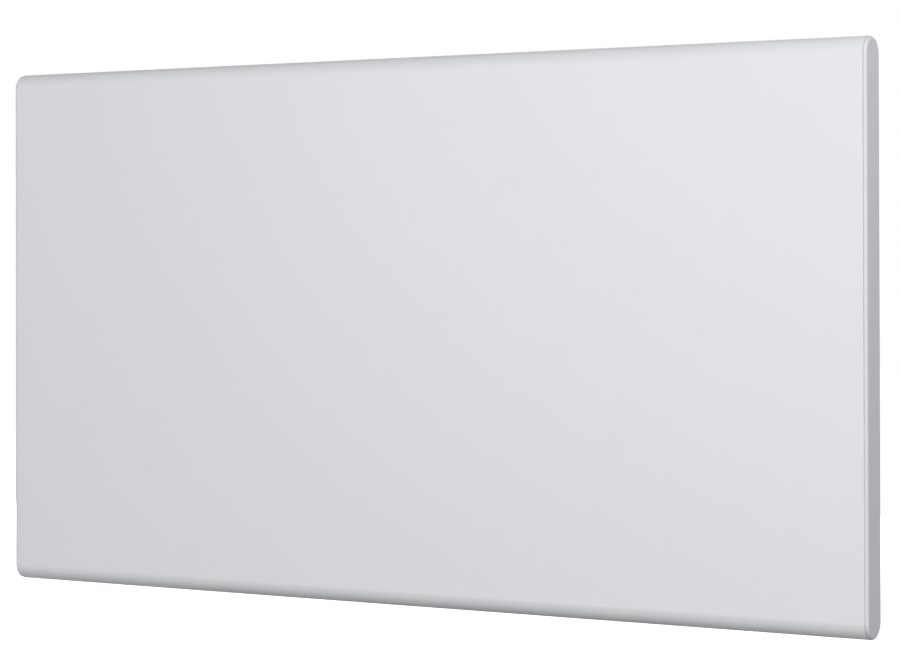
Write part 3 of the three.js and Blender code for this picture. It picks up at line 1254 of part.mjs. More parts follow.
function latchSpring(middle) {
  const steps = SPRING_TURNS * SPRING_STEPS_PER_TURN;
  return tube(springCurve(middle), SPRING_WIRE_RADIUS, SPRING_SIDES, steps);
}

// The least free distance between two turns of a spring, measured on points along its wire.
function leastSpringGap(curve) {
  const points = curve.getPoints(SPRING_TURNS * SPRING_GAP_SAMPLES);
  const gaps = points.flatMap((point, index) =>
    points.slice(index + SPRING_GAP_SAMPLES / 2).map((other) => point.distanceTo(other)),
  );
  return gaps.reduce((least, gap) => Math.min(least, gap)) - 2 * SPRING_WIRE_RADIUS;
}

// Assembly

const LOOKS = {
  paint: { color: "#e6e7ea", roughness: 0.45 },
  capPlastic: { color: "#dfe0e4", roughness: 0.5 },
  zinc: { color: "#b9bcc0", metalness: 0.8, roughness: 0.4 },
  aluminium: { color: "#c3c6c9", metalness: 0.9, roughness: 0.35 },
  film: { color: "#c98a2e", roughness: 0.4 },
  foil: { color: "#8d8f92", metalness: 0.9, roughness: 0.3 },
  wool: { color: "#cdc6a8", roughness: 0.95 },
  blackPlastic: { color: "#2a2b2d", roughness: 0.5 },
  whitePlastic: { color: "#eceae4", roughness: 0.5 },
  copper: { color: "#b06a3c", metalness: 0.9, roughness: 0.35 },
  brass: { color: "#c2a14d", metalness: 0.9, roughness: 0.35 },
  liveWire: { color: "#6b4326", roughness: 0.5 },
  neutralWire: { color: "#2f5fa8", roughness: 0.5 },
  earthWire: { color: "#6f9a35", roughness: 0.5 },
  springSteel: { color: "#8f9296", metalness: 0.9, roughness: 0.3 },
};

const heater = new THREE.Group();
heater.name = "panel_heater";

function add(name, solid, look) {
  const { vertProperties, triVerts } = solid.getMesh();
  const geometry = new THREE.BufferGeometry();
  geometry.setAttribute("position", new THREE.BufferAttribute(vertProperties, 3));
  geometry.setIndex(new THREE.BufferAttribute(triVerts, 1));
  geometry.computeVertexNormals();
  const mesh = new THREE.Mesh(geometry, new THREE.MeshStandardMaterial(look));
  mesh.name = name;
  heater.add(mesh);
}

add("front_panel", frontPanel(), LOOKS.paint);
add("end_cap_right", endCap(1), LOOKS.capPlastic);
add("end_cap_left", leftCap(), LOOKS.capPlastic);
add("back_panel", backPanel(), LOOKS.zinc);
[-SCREW_X, SCREW_X].forEach((x, row) =>
  SCREW_PLACE_SHARES.forEach((share, index) => {
    const number = row * SCREW_PLACE_SHARES.length + index + 1;
    add(`back_screw_${number}`, backScrew(x, share * CASING_HEIGHT), LOOKS.zinc);
  }),
);

add("heat_spreader", stackLayer(SPREADER_Y, SPREADER_Y + SPREADER_WALL), LOOKS.aluminium);
add("element_film_front", stackLayer(FRONT_FILM_Y, FRONT_FILM_Y + FILM_WALL), LOOKS.film);
add("heating_track", heatingTrack(), LOOKS.foil);
add("element_film_rear", stackLayer(REAR_FILM_Y, REAR_FILM_Y + FILM_WALL), LOOKS.film);
add("insulation_board", stackLayer(INSULATION_Y, COVER_FRONT_Y - SEAT_GAP), LOOKS.wool);
add("bay_divider", bayDivider(), LOOKS.zinc);

add("thermal_cutout", thermalCutout(), LOOKS.blackPlastic);
add("thermal_fuse", thermalFuse(), LOOKS.brass);
add("terminal_block", terminalBlock(), LOOKS.whitePlastic);
add("earth_stud", earthStud(), LOOKS.copper);
add("earth_nut", earthNut(), LOOKS.brass);
add("cord_gland", cordGland(), LOOKS.blackPlastic);
add("gland_nut", glandNut(), LOOKS.blackPlastic);

add("control_bracket", controlBracket(), LOOKS.zinc);
add("thermostat_body", thermostatBody(), LOOKS.blackPlastic);
add("thermostat_nut", thermostatNut(), LOOKS.brass);
add("thermostat_shaft", thermostatShaft(), LOOKS.zinc);
add("thermostat_dial", thermostatDial(), LOOKS.capPlastic);
add("sensor_capillary", sensorCapillary(), LOOKS.copper);
add("switch_housing", switchHousing(), LOOKS.blackPlastic);
add("switch_rocker", switchRocker(), LOOKS.whitePlastic);

const WIRE_LOOKS = {
  lead_neutral: LOOKS.neutralWire,
  lead_to_fuse: LOOKS.neutralWire,
  lead_earth: LOOKS.earthWire,
};

Object.entries(leadRuns()).forEach(([name, [start, end]]) => {
  const look = WIRE_LOOKS[name] ?? LOOKS.liveWire;
  add(name, tube(sweep(start, end), LEAD_RADIUS, LEAD_SIDES, LEAD_STEPS), look);
});

add("bracket_rail", bracketRail(), LOOKS.zinc);
Object.entries({ left: -1, right: 1 }).forEach(([name, side], row) => {
  const middle = side * ARM_X;
  add(`slot_cover_${name}`, slotCover(middle), LOOKS.zinc);
  add(`bracket_arm_${name}`, bracketArm(middle), LOOKS.zinc);
  countedPlaces(2, RIVET_SPACING).forEach((z, index) =>
    add(`rail_rivet_${row * 2 + index + 1}`, railRivet(side, z), LOOKS.aluminium),
  );
  add(`latch_${name}`, latch(middle), LOOKS.blackPlastic);
  add(`latch_spring_${name}`, latchSpring(middle), LOOKS.springSteel);
  const gap = leastSpringGap(springCurve(middle));
  console.log(`latch_spring_${name}, least gap between turns: ${gap.toFixed(2)} mm`);
});

export default heater;
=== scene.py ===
"""Looks of a slim electric panel heater on its wall bracket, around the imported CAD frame.

+X runs to the right as seen from the front, +Y goes into the wall and +Z is up. The scene is in metres.
The sizes of the pieces and the points of their outlines are in mm, and loft() turns them into metres.
"""

import json
import math
from functools import partial

import bmesh
import bpy
from mathutils import Matrix, Vector

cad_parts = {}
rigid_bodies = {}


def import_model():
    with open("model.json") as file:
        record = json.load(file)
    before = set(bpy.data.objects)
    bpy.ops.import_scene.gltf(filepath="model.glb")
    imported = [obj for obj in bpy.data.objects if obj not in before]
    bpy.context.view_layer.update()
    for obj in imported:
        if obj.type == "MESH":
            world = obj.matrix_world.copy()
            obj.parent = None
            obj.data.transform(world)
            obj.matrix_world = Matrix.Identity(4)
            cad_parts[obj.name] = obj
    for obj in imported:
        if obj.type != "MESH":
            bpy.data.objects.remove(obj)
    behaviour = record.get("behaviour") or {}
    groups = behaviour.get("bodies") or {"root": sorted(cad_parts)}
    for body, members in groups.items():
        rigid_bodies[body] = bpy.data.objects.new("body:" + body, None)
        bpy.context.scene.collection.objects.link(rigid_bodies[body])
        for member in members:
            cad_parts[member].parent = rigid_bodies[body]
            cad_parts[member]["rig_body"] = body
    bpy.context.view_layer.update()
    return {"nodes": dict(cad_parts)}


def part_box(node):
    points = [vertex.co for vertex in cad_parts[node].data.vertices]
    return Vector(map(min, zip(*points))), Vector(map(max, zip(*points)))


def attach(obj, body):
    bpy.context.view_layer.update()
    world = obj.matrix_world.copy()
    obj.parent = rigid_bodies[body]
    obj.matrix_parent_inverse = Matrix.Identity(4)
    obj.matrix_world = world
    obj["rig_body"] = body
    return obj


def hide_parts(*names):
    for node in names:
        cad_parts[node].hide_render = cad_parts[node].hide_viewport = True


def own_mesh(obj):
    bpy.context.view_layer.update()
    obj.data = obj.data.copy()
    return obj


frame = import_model()
NODES = frame["nodes"]
SCENE = bpy.context.scene
MM = 0.001

# Room round a piece that is seated and round one that moves, and how far a cutter overshoots
SEAT_GAP = 0.3
SLIDE_GAP = 0.4
CUT_OVERRUN = 1

# Casing: a flat front between two half rounds, and the lips behind
SHEET_END = 446.5
SHEET_WALL = 1
BACK_Y = -20
MID_Y = -35
ROUND = 15
ROUND_Z = 235
LIP_Z = 200

# End caps: outer face, shoulder next to the sheet, and the step that nearly fills the seam there
FACE_X = 450
LEFT_FACE_X = -FACE_X
SEAM_X = 447
CAP_INSET = 0.3
CAP_EDGE = 2.5
STEP_WIDTH = 0.45
STEP_DEPTH = 0.8
STEP_RISE = 0.4

# Where the CAD's ribbed spigot is cut off its cap, and how far it then reaches into the finer skin
SPIGOT_CUT_X = SEAM_X - 0.02
SPIGOT_OVERLAP = 0.5

# Openings in the left cap's face
OPENING_EDGE = 0.2
THROUGH_CAP = 4
SWITCH_HALF_WIDTH = 6.4
SWITCH_BEZEL = 1.8
VENT_HALF_LENGTH = 7
VENT_HALF_HEIGHT = 1
VENT_PLACES_Z = (20, 25, 30, 35, 40)

# Dial: a dished face, with points as inset from the rim and depth, and grips that fade out over the edge
DIAL_Z = 150
DIAL_FACE_X = -452.6
DIAL_BACK_X = -448.6
DIAL_RADIUS = 10
DIAL_RECESS = 1.8
DIAL_FACE_WALL = 1.6
DIAL_FRONT_ROUND = 0.6
DIAL_REAR_ROUND = 0.4
DISH = ((9.4, 0.4), (5, 0.4), (2.3, 0.34), (1.6, 0.04), (1.2, 0))
GRIPS = 18
GRIP_POINTS = 14
GRIP_DEPTH = 0.7
GRIP_FADE = 2
SHAFT_RADIUS = 3
HUB_RADIUS = 4.4
HUB_CUT_X = DIAL_BACK_X + 0.1
HUB_OVERLAP = 0.6

# The dial's pointer: a groove along its radius, with paint on its floor
POINTER_FROM = 4.2
POINTER_TO = 7.6
POINTER_HALF_WIDTH = 0.6
POINTER_DEPTH = 0.8
PAINT_HALF_WIDTH = 0.55
PAINT_DEPTH = 0.62

# The scale round the dial: ticks of ink that lie on the cap's face, a turn of 27 degrees apart
TICKS = 11
TICK_TURN = 27
TICK_FROM = 11.3
TICK_TO = 12.3
TICK_HALF_WIDTH = 0.3
LONG_TICK_EVERY = 5
LONG_TICK_TO = 12.6
LONG_TICK_HALF_WIDTH = 0.4
INK_SUNK = 0.02
INK_RAISED = 0.03

# Cross recesses of the screws
RECESS_REACH = 1.7
RECESS_HALF_WIDTH = 0.35
RECESS_DEPTH = 1.3
RECESS_TAPER = 0.7

# Latch springs
ARM_X = 260
CHANNEL_MID_Y = -9.85
SPRING_LOW_Z = 128.93
SPRING_HIGH_Z = 155.88
SPRING_RADIUS = 4
SPRING_WIRE_RADIUS = 0.5
SPRING_TURNS = 6

# Wires: thickness, how straight they leave their ends, and where these are
WIRE_RADIUS = 1.1
LEAVE = 24
LEAVE_LONG = 120
LEAVE_SHORT = 8
LEFT, RIGHT = Vector((-1, 0, 0)), Vector((1, 0, 0))
DOWN, UP = Vector((0, 0, -1)), Vector((0, 0, 1))
TERMINAL_EARTH = Vector((-409.5, -29.9, -135.7))
TERMINAL_LIVE = Vector((-399.5, -29.9, -135.7))
TERMINAL_NEUTRAL = Vector((-389.5, -29.9, -135.7))
EARTH_STUD = Vector((-409.5, -28.1, -99.3))
SWITCH_IN = Vector((-429, -35, 86))
SWITCH_OUT = Vector((-429, -35, 94))
THERMOSTAT_IN = Vector((-402.2, -35, 146))
THERMOSTAT_OUT = Vector((-402.2, -35, 154))
CUTOUT_IN = Vector((-380.6, -39, 190))
CUTOUT_OUT = Vector((-380.6, -31, 190))
TRACK_TOP = Vector((-378.3, -46.4, 210))
TRACK_BOTTOM = Vector((-378.3, -46.4, -210))
FUSE_BOTTOM = Vector((-368.5, -35, -197.3))
FUSE_TOP = Vector((-368.5, -35, -182.7))

# Steps and sides of what is round
ROUND_STEPS = 72
DISC_STEPS = 96
END_STEPS = 12
WIRE_STEPS = 48
WIRE_SIDES = 16
SPRING_TURN_STEPS = 28
SPRING_SIDES = 12

# What counts as one corner in mm, as one flat face in degrees, and as a sharp edge on solids and on wires
WELD = 0.002
FLAT = 0.4
SHARP = 32
SHARP_ON_WIRE = 60

# Camera: place in metres, angles in degrees, sensor and lens in mm, and shift by the frame's width
CAMERA_PLACE = (1.2774, -2.1266, 0.0644)
CAMERA_TURN = 30.547
CAMERA_TILT = 90.525
CAMERA_ROLL = -0.131
CAMERA_SENSOR = 36
CAMERA_LENS = 107.45
CAMERA_SHIFT = -0.106

# Lamps in metres and watts: name, place, where it points, width, height and power
LAMPS = (
    ("key", (1.9, -2.6, 0.65), (0.1, 0, 0), 1.6, 1.6, 60),
    ("front", (-1.2, -3.0, 0.6), (0, 0, 0), 1.8, 1.8, 41),
    ("right_end", (1.3, -0.2, 0.78), (0.4, 0, 0), 0.5, 0.5, 4),
    ("back", (-0.8, 2.6, 0.05), (-0.1, 0, 0), 2.2, 0.8, 33),
    ("back_left", (-2.6, 1.6, 0.1), (-0.2, 0, 0), 1.6, 0.8, 36),
)
AMBIENT = 0.03

# Floor in metres. The camera sees it white, with a painted glow that is faint near the heater and full
# further off, where it whites out the floor's shadow.
# It throws light back as a mid grey floor does, because the photographed underside is dark.
FLOOR_Z = -0.42
FLOOR_HALF_WIDTH = 9
BOUNCE_COLOUR = "#4C4C4C"
GLOW_NEAR, GLOW_FAR = 0.45, 0.85
FAINT, FULL = 0.3, 1.0

# Scuffs: where the noise makes them, how much rougher they are, and their gain on dark and on pale colours
SCUFF_STARTS, SCUFF_FULL = 0.54, 0.7
SCUFF_ROUGHNESS = 0.3
SCUFF_ON_DARK = 3.0
SCUFF_ON_PALE = 0.7
DARK_BELOW = 0.1

# Sockets of a Mix node that mixes colours
MIX_SHARE, MIX_FIRST, MIX_SECOND, MIX_RESULT = 0, 6, 7, 2
WHITE = (1, 1, 1, 1)


# Scene and nodes

def put(name, data):
    """A new object in the scene."""
    thing = bpy.data.objects.new(name, data)
    SCENE.collection.objects.link(thing)
    return thing


def emptied(owner):
    """The node tree of a new material or world, without the nodes that it starts with."""
    owner.use_nodes = True
    owner.node_tree.nodes.clear()
    return owner.node_tree


def add(tree, kind, values=(), links=(), **options):
    """Adds a node with its options, its own socket values and its links."""
    node = tree.nodes.new(kind)
    for name, value in options.items():
        setattr(node, name, value)
    for name, value in dict(values).items():
        node.inputs[name].default_value = value
    for name, source in dict(links).items():
        tree.links.new(source, node.inputs[name])
    return node


def noise(tree, place, size_mm, detail, roughness=0.5):
    """Cloudy values from 0 to 1, about a size in mm across."""
    values = {"Scale": 1 / (size_mm * MM), "Detail": detail, "Roughness": roughness}
    return add(tree, "ShaderNodeTexNoise", values, {"Vector": place}).outputs["Fac"]


def ranged(tree, value, low, high, to_low=0.0, to_high=1.0):
    """A value moved from one range to another, and held at its ends."""
    values = {"From Min": low, "From Max": high, "To Min": to_low, "To Max": to_high}
    return add(tree, "ShaderNodeMapRange", values, {"Value": value}).outputs["Result"]


def linear(code):
    """An sRGB hex colour as linear RGBA."""
    parts = [int(code[i : i + 2], 16) / 255 for i in (1, 3, 5)]
    return [p / 12.92 if p <= 0.04045 else ((p + 0.055) / 1.055) ** 2.4 for p in parts] + [1.0]


def shaded(code, gain):
    """The same colour, lighter or darker by a gain."""
    return [min(1.0, c * gain) for c in linear(code)[:3]] + [1.0]


# Camera

def make_camera():
    """The photograph's camera: to the right of the middle, almost level, with a long lens."""
    camera = put("camera", bpy.data.cameras.new("camera"))
    turn = Matrix.Rotation(math.radians(CAMERA_TURN), 4, "Z")
    tilt = Matrix.Rotation(math.radians(CAMERA_TILT), 4, "X")
    roll = Matrix.Rotation(math.radians(CAMERA_ROLL), 4, "Z")
    camera.matrix_world = Matrix.Translation(CAMERA_PLACE) @ turn @ tilt @ roll
    camera.data.sensor_width = CAMERA_SENSOR
    camera.data.lens = CAMERA_LENS
    camera.data.shift_y = CAMERA_SHIFT
    SCENE.camera = camera


# Materials

def surface(name, colour, roughness, metallic=0.0, tone=0.03, tone_mm=90, uneven=0.05, grain_mm=1.0,
            grain_depth=0.01, scuff=0.1, scuff_mm=20, stretch=(1, 1, 1), pattern=None):
    """A surface with a drift of tone and gloss, a fine grain and scattered dull scuffs, at real sizes in mm.

    Scuffs lighten a dark surface and soil a pale one. A pattern takes the tree and the place and gives back
    the 0 to 1 value that drives tone and gloss.
    """
    material = bpy.data.materials.new(name)
    tree = emptied(material)
    place = add(tree, "ShaderNodeTexCoord").outputs["Object"]
    mapped = add(tree, "ShaderNodeMapping", {"Scale": stretch}, {"Vector": place}).outputs["Vector"]
    drift = pattern(tree, place) if pattern else noise(tree, mapped, tone_mm, detail=4)
    tones = {MIX_FIRST: shaded(colour, 1 - tone), MIX_SECOND: shaded(colour, 1 + tone)}
    clean = add(tree, "ShaderNodeMix", tones, {MIX_SHARE: drift}, data_type="RGBA").outputs[MIX_RESULT]
    rubs = noise(tree, mapped, scuff_mm, detail=8, roughness=0.7)
    scuffs = ranged(tree, rubs, SCUFF_STARTS, SCUFF_FULL, to_high=scuff)
    gain = SCUFF_ON_DARK if max(linear(colour)[:3]) < DARK_BELOW else SCUFF_ON_PALE
    colours = add(tree, "ShaderNodeMix", {MIX_SECOND: shaded(colour, gain)},
                  {MIX_SHARE: scuffs, MIX_FIRST: clean}, data_type="RGBA").outputs[MIX_RESULT]
    even = ranged(tree, drift, 0, 1, to_low=roughness - uneven, to_high=roughness + uneven)
    gloss = add(tree, "ShaderNodeMath", {1: SCUFF_ROUGHNESS}, {0: scuffs, 2: even},
                operation="MULTIPLY_ADD").outputs[0]
    grain = noise(tree, mapped, grain_mm, detail=3)
    bump = add(tree, "ShaderNodeBump", {"Distance": grain_depth * MM}, {"Height": grain}).outputs["Normal"]
    shader = add(tree, "ShaderNodeBsdfPrincipled", {"Metallic": metallic},
                 {"Base Color": colours, "Roughness": gloss, "Normal": bump})
    add(tree, "ShaderNodeOutputMaterial", (), {"Surface": shader.outputs["BSDF"]})
    return material


def spangle(tree, place):
    """Zinc crystals 6 to 12 mm across, each with its own tone."""
    cells = add(tree, "ShaderNodeTexVoronoi", {"Scale": 1 / (9 * MM)}, {"Vector": place})
    split = add(tree, "ShaderNodeSeparateColor", (), {"Color": cells.outputs["Color"]})
    return split.outputs["Red"]


def bands(tree, place):
    """Green and yellow bands round an earth wire, each about 12.5 mm long, with crisp ends."""
    wave = add(tree, "ShaderNodeTexWave", {"Scale": 1 / (40 * MM)}, {"Vector": place},
               bands_direction="DIAGONAL")
    return ranged(tree, wave.outputs["Fac"], low=0.48, high=0.52)


# White polyester powder coat, baked on steel sheet: satin, with a faint orange peel about 2.5 mm across.
POWDER_COAT = surface("white_powder_coat", "#E6E7EA", 0.42, tone=0.008, tone_mm=160, uneven=0.03,
                      grain_mm=2.5, grain_depth=0.004, scuff=0.03, scuff_mm=35)
# Moulded ABS with a spark-eroded grain. The real grain is 0.2 mm, drawn at 0.6 mm so that it shows.
CAP_PLASTIC = surface("white_moulded_abs", "#DEDFE3", 0.58, tone=0.01, tone_mm=60, uneven=0.04,
                      grain_mm=0.6, grain_depth=0.012, scuff=0.04, scuff_mm=15)
# Hot-dip galvanised sheet: crystals of zinc in patches of lighter and darker grey, half dull.
GALVANISED = surface("galvanised_sheet", "#A6AAAE", 0.54, 1.0, tone=0.1, uneven=0.07, grain_mm=1.5,
                     grain_depth=0.006, scuff=0.3, scuff_mm=40, pattern=spangle)
# Zinc plating on small turned parts: pale, slightly blue, with a soft shine.
ZINC = surface("zinc_plate", "#C3C8CE", 0.28, 1.0, tone=0.05, tone_mm=4, grain_mm=0.5, grain_depth=0.004)
# Rolled aluminium: fine lines along the rolling direction.
ROLLED = surface("rolled_aluminium", "#C9CBCD", 0.34, 1.0, tone=0.05, tone_mm=12, stretch=(0.05, 1, 1),
                 grain_mm=0.8, grain_depth=0.006)
# Polyimide film: amber, clear and shiny, with slight creases.
FILM = surface("polyimide_film", "#B8741F", 0.2, tone=0.1, tone_mm=50, grain_mm=18, grain_depth=0.05)
# Etched resistance foil: dark bright metal.
FOIL = surface("resistance_foil", "#8B8E92", 0.32, 1.0, tone=0.06, tone_mm=25, grain_mm=2, grain_depth=0.004)
# Pressed mineral wool: yellowish, matted fibres drawn 1.5 mm apart.
WOOL = surface("mineral_wool", "#BFB27C", 0.95, tone=0.16, tone_mm=14, uneven=0.03, stretch=(0.5, 2, 1),
               grain_mm=1.5, grain_depth=0.4)
# Phenolic moulding: black, dull, with a trace of filler.
PHENOLIC = surface("black_phenolic", "#1E1D1C", 0.55, tone=0.2, tone_mm=3, grain_mm=0.8, grain_depth=0.01)
# Polyamide with glass fibre: black or white, satin, faintly streaked by the mould's flow.
BLACK_PA = surface("black_polyamide", "#1C1D1F", 0.46, tone=0.15, tone_mm=9, stretch=(1, 1, 0.4),
                   grain_mm=0.7, grain_depth=0.012)
WHITE_PA = surface("white_polyamide", "#DCDBD5", 0.38, tone=0.02, tone_mm=9, grain_mm=0.7, grain_depth=0.008)
# Turned brass and drawn copper, a little dulled by air.
BRASS = surface("turned_brass", "#C9A75A", 0.3, 1.0, tone=0.08, tone_mm=3, grain_mm=0.4, grain_depth=0.004)
COPPER = surface("drawn_copper", "#B9714E", 0.34, 1.0, tone=0.1, tone_mm=8, grain_mm=0.6, grain_depth=0.004)
# Soft PVC sleeves: smooth, with a low sheen.
BROWN_PVC = surface("brown_pvc", "#5A3A24", 0.4, tone=0.06, tone_mm=12, grain_mm=0.8, grain_depth=0.006)
BLUE_PVC = surface("blue_pvc", "#2B5CA6", 0.4, tone=0.06, tone_mm=12, grain_mm=0.8, grain_depth=0.006)
EARTH_PVC = surface("green_yellow_pvc", "#8FA52A", 0.4, tone=0.45, grain_mm=0.8, grain_depth=0.006,
                    pattern=bands)
# Bright drawn spring wire.
SPRING_STEEL = surface("spring_wire", "#9A9DA1", 0.25, 1.0, tone=0.05, tone_mm=5, grain_mm=0.4,
                       grain_depth=0.003)
# Grey pad-printing ink, matt.
INK = surface("grey_ink", "#6F7276", 0.6, tone=0.04, tone_mm=6, grain_mm=0.5, grain_depth=0.003)


# Meshes

def made(bm):
    """A mesh from a bmesh, with its faces turned outwards."""
    bmesh.ops.recalc_face_normals(bm, faces=bm.faces)
    mesh = bpy.data.meshes.new("fine")
    bm.to_mesh(mesh)
    bm.free()
    return mesh


def loft(*groups):
    """Closed bodies in one mesh. Each group is a list of rings of points in mm, all of one count."""
    bm = bmesh.new()
    for rings in groups:
        loops = [[bm.verts.new(Vector(p) * MM) for p in ring] for ring in rings]
        count = len(loops[0])
        for low, high in zip(loops, loops[1:]):
            for i in range(count):
                j = (i + 1) % count
                bm.faces.new((low[i], low[j], high[j], high[i]))
        bm.faces.new(loops[0][::-1])
        bm.faces.new(loops[-1])
    return made(bm)


def welded(node):
    """A CAD node's mesh as a bmesh, with the corners that its triangles share joined."""
    bm = bmesh.new()
    bm.from_mesh(NODES[node].data)
    bmesh.ops.remove_doubles(bm, verts=bm.verts, dist=WELD * MM)
    return bm


def whole(node):
    """A CAD node's mesh with its flat faces made whole again."""
    bm = welded(node)
    bmesh.ops.dissolve_limit(bm, angle_limit=math.radians(FLAT), verts=bm.verts, edges=bm.edges)
    return made(bm)


def inner_half(node, x, side, reach):
    """The part of a CAD node inside a plane across X, drawn out by a reach so that it can be joined."""
    bm = welded(node)
    every = bm.verts[:] + bm.edges[:] + bm.faces[:]
    bmesh.ops.bisect_plane(bm, geom=every, plane_co=(x * MM, 0, 0), plane_no=(side, 0, 0), clear_outer=True)
    rim = [edge for edge in bm.edges if edge.is_boundary]
    bmesh.ops.triangle_fill(bm, edges=rim, use_beauty=True)
    for vert in {v for edge in rim for v in edge.verts}:
        vert.co.x += side * reach * MM
    return made(bm)


def combined(mesh, other, operation):
    """A mesh joined with, or cut by, another."""
    thing, tool = put("thing", mesh), put("tool", other)
    step = thing.modifiers.new("step", "BOOLEAN")
    step.operation = operation
    step.solver = "EXACT"
    step.use_self = True
    step.object = tool
    result = bpy.data.meshes.new_from_object(thing.evaluated_get(bpy.context.evaluated_depsgraph_get()))
    for used in (thing, tool):
        bpy.data.objects.remove(used)
    return result


# Pieces

def shaped(name, mesh, look, edge_mm=0.0, sharp=SHARP):
    """Puts a mesh in the scene, smooth but for its real edges, which a small round breaks."""
    thing = put(name, mesh)
    mesh.materials.clear()
    mesh.materials.append(look)
    for face in mesh.polygons:
        face.use_smooth = True
        face.material_index = 0
    mesh.set_sharp_from_angle(angle=math.radians(sharp))
    if edge_mm:
        bevel = thing.modifiers.new("edge", "BEVEL")
        bevel.width = edge_mm * MM
        bevel.segments = 2
        bevel.limit_method = "ANGLE"
        bevel.angle_limit = math.radians(sharp)
        bevel.harden_normals = True
    thing.modifiers.new("flat_faces", "WEIGHTED_NORMAL").keep_sharp = True
    return thing


def placed(thing, node):
    """The piece takes the place of its CAD node, which it hides, and moves with its body."""
    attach(thing, NODES[node]["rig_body"])
    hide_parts(node)


def printed(name, mesh, node):
    """Ink on a CAD node: a fine piece of its own that moves with the node's body."""
    ink = shaped(name, mesh, INK)
    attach(ink, NODES[node]["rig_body"])


def dress(node, look, edge_mm=0.0):
    """The node's own form, with its edges broken and its facets shaded smooth."""
    placed(shaped(f"{node}_piece", whole(node), look, edge_mm), node)


def box_mm(node):
    """The lowest and the highest corner of a CAD node's box, in mm."""
    return [Vector(corner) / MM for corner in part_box(node)]


# Outlines

def arc(y, z, radius, start, end, steps):
    """Points on a round stretch, angles in degrees, both ends included."""
    turns = [math.radians(start + (end - start) * i / steps) for i in range(steps + 1)]
    return [(y + radius * math.cos(a), z + radius * math.sin(a)) for a in turns]


def quarter(steps):
    """Sine and cosine on the way through a right angle."""
    return [(math.sin(a), math.cos(a)) for a in (math.pi / 2 * i / steps for i in range(steps + 1))]


def rectangle(y, z, half_y, half_z):
    """The corners of an upright rectangle."""
    return [(y + u * half_y, z + v * half_z) for u, v in ((-1, -1), (1, -1), (1, 1), (-1, 1))]


def cap_ring(radius, x, rise=0.0):
    """The outline that an end cap shares with the sheet, at one place along X."""
    outline = arc(MID_Y, -ROUND_Z, radius, 0, -180, ROUND_STEPS)
    outline += arc(MID_Y, ROUND_Z, radius, 180, 0, ROUND_STEPS)
    return [(x, y, z + rise) for y, z in outline]


def disc_ring(radius, x):
    """A circle round the dial's axis."""
    return [(x, *p) for p in arc(MID_Y, DIAL_Z, radius, 0, 360 - 360 / DISC_STEPS, DISC_STEPS - 1)]


def vent_ring(radius, x, z):
    """An air slot's outline, long in Y, with round ends."""
    straight = VENT_HALF_LENGTH - VENT_HALF_HEIGHT
    outline = arc(MID_Y + straight, z, radius, -90, 90, END_STEPS)
    outline += arc(MID_Y - straight, z, radius, 90, 270, END_STEPS)
    return [(x, *p) for p in outline]


def window_ring(size, x):
    """The outline of the window that the switch's bezel covers, wider by a size on every side."""
    low, high = box_mm("switch_housing")
    half_height = (high.z - low.z) / 2 - SWITCH_BEZEL + SEAT_GAP + size
    half_width = SWITCH_HALF_WIDTH + SEAT_GAP + size
    return [(x, *p) for p in rectangle(MID_Y, (low.z + high.z) / 2, half_width, half_height)]


def pointer_ring(radius, x):
    """The pointer's outline, long in Z, with round ends."""
    outline = arc(MID_Y, DIAL_Z + POINTER_TO, radius, 0, 180, END_STEPS)
    outline += arc(MID_Y, DIAL_Z + POINTER_FROM, radius, 180, 360, END_STEPS)
    return [(x, *p) for p in outline]


def dial_ring(inset, x):
    """The dial's outline some way inside its rim, where the grips are shallower."""
    grip = GRIP_DEPTH / 2 * max(0.0, 1 - inset / GRIP_FADE)
    points = []
    for i in range(GRIPS * GRIP_POINTS):
        angle = 2 * math.pi * i / (GRIPS * GRIP_POINTS)
        radius = DIAL_RADIUS - grip * (1 - math.cos(GRIPS * angle)) - inset
        points.append((x, MID_Y + radius * math.cos(angle), DIAL_Z + radius * math.sin(angle)))
    return points


# Casing

def front_panel():
    """One sheet, folded round top and bottom, with its lips behind."""
    inner = ROUND - SHEET_WALL
    section = [
        (BACK_Y, -LIP_Z),
        *arc(MID_Y, -ROUND_Z, ROUND, 0, -180, ROUND_STEPS),
        *arc(MID_Y, ROUND_Z, ROUND, 180, 0, ROUND_STEPS),
        (BACK_Y, LIP_Z),
        (BACK_Y - SHEET_WALL, LIP_Z),
        *arc(MID_Y, ROUND_Z, inner, 0, 180, ROUND_STEPS),
        *arc(MID_Y, -ROUND_Z, inner, -180, 0, ROUND_STEPS),
        (BACK_Y - SHEET_WALL, -LIP_Z),
    ]
    rings = [[(x, y, z) for y, z in section] for x in (-SHEET_END, 0, SHEET_END)]
    placed(shaped("front_panel_piece", loft(rings), POWDER_COAT, 0.2), "front_panel")


def opening(ring, size, depth):
    """Rings that cut an opening from the left face inwards, with its edge broken at 45 degrees."""
    wide = size + OPENING_EDGE
    return [
        ring(wide + CUT_OVERRUN, LEFT_FACE_X - CUT_OVERRUN),
        ring(wide, LEFT_FACE_X),
        ring(size, LEFT_FACE_X + OPENING_EDGE),
        ring(size, LEFT_FACE_X + depth),
    ]


def control_openings():
    """The dial's recess, its hub's hole, the switch's window and the air slots."""
    vents = [partial(vent_ring, z=z) for z in VENT_PLACES_Z]
    return loft(
        opening(disc_ring, DIAL_RADIUS + SLIDE_GAP, DIAL_RECESS),
        [disc_ring(HUB_RADIUS + SLIDE_GAP, LEFT_FACE_X + x) for x in (-CUT_OVERRUN, THROUGH_CAP)],
        opening(window_ring, 0, THROUGH_CAP),
        *[opening(vent, VENT_HALF_HEIGHT, THROUGH_CAP) for vent in vents],
    )


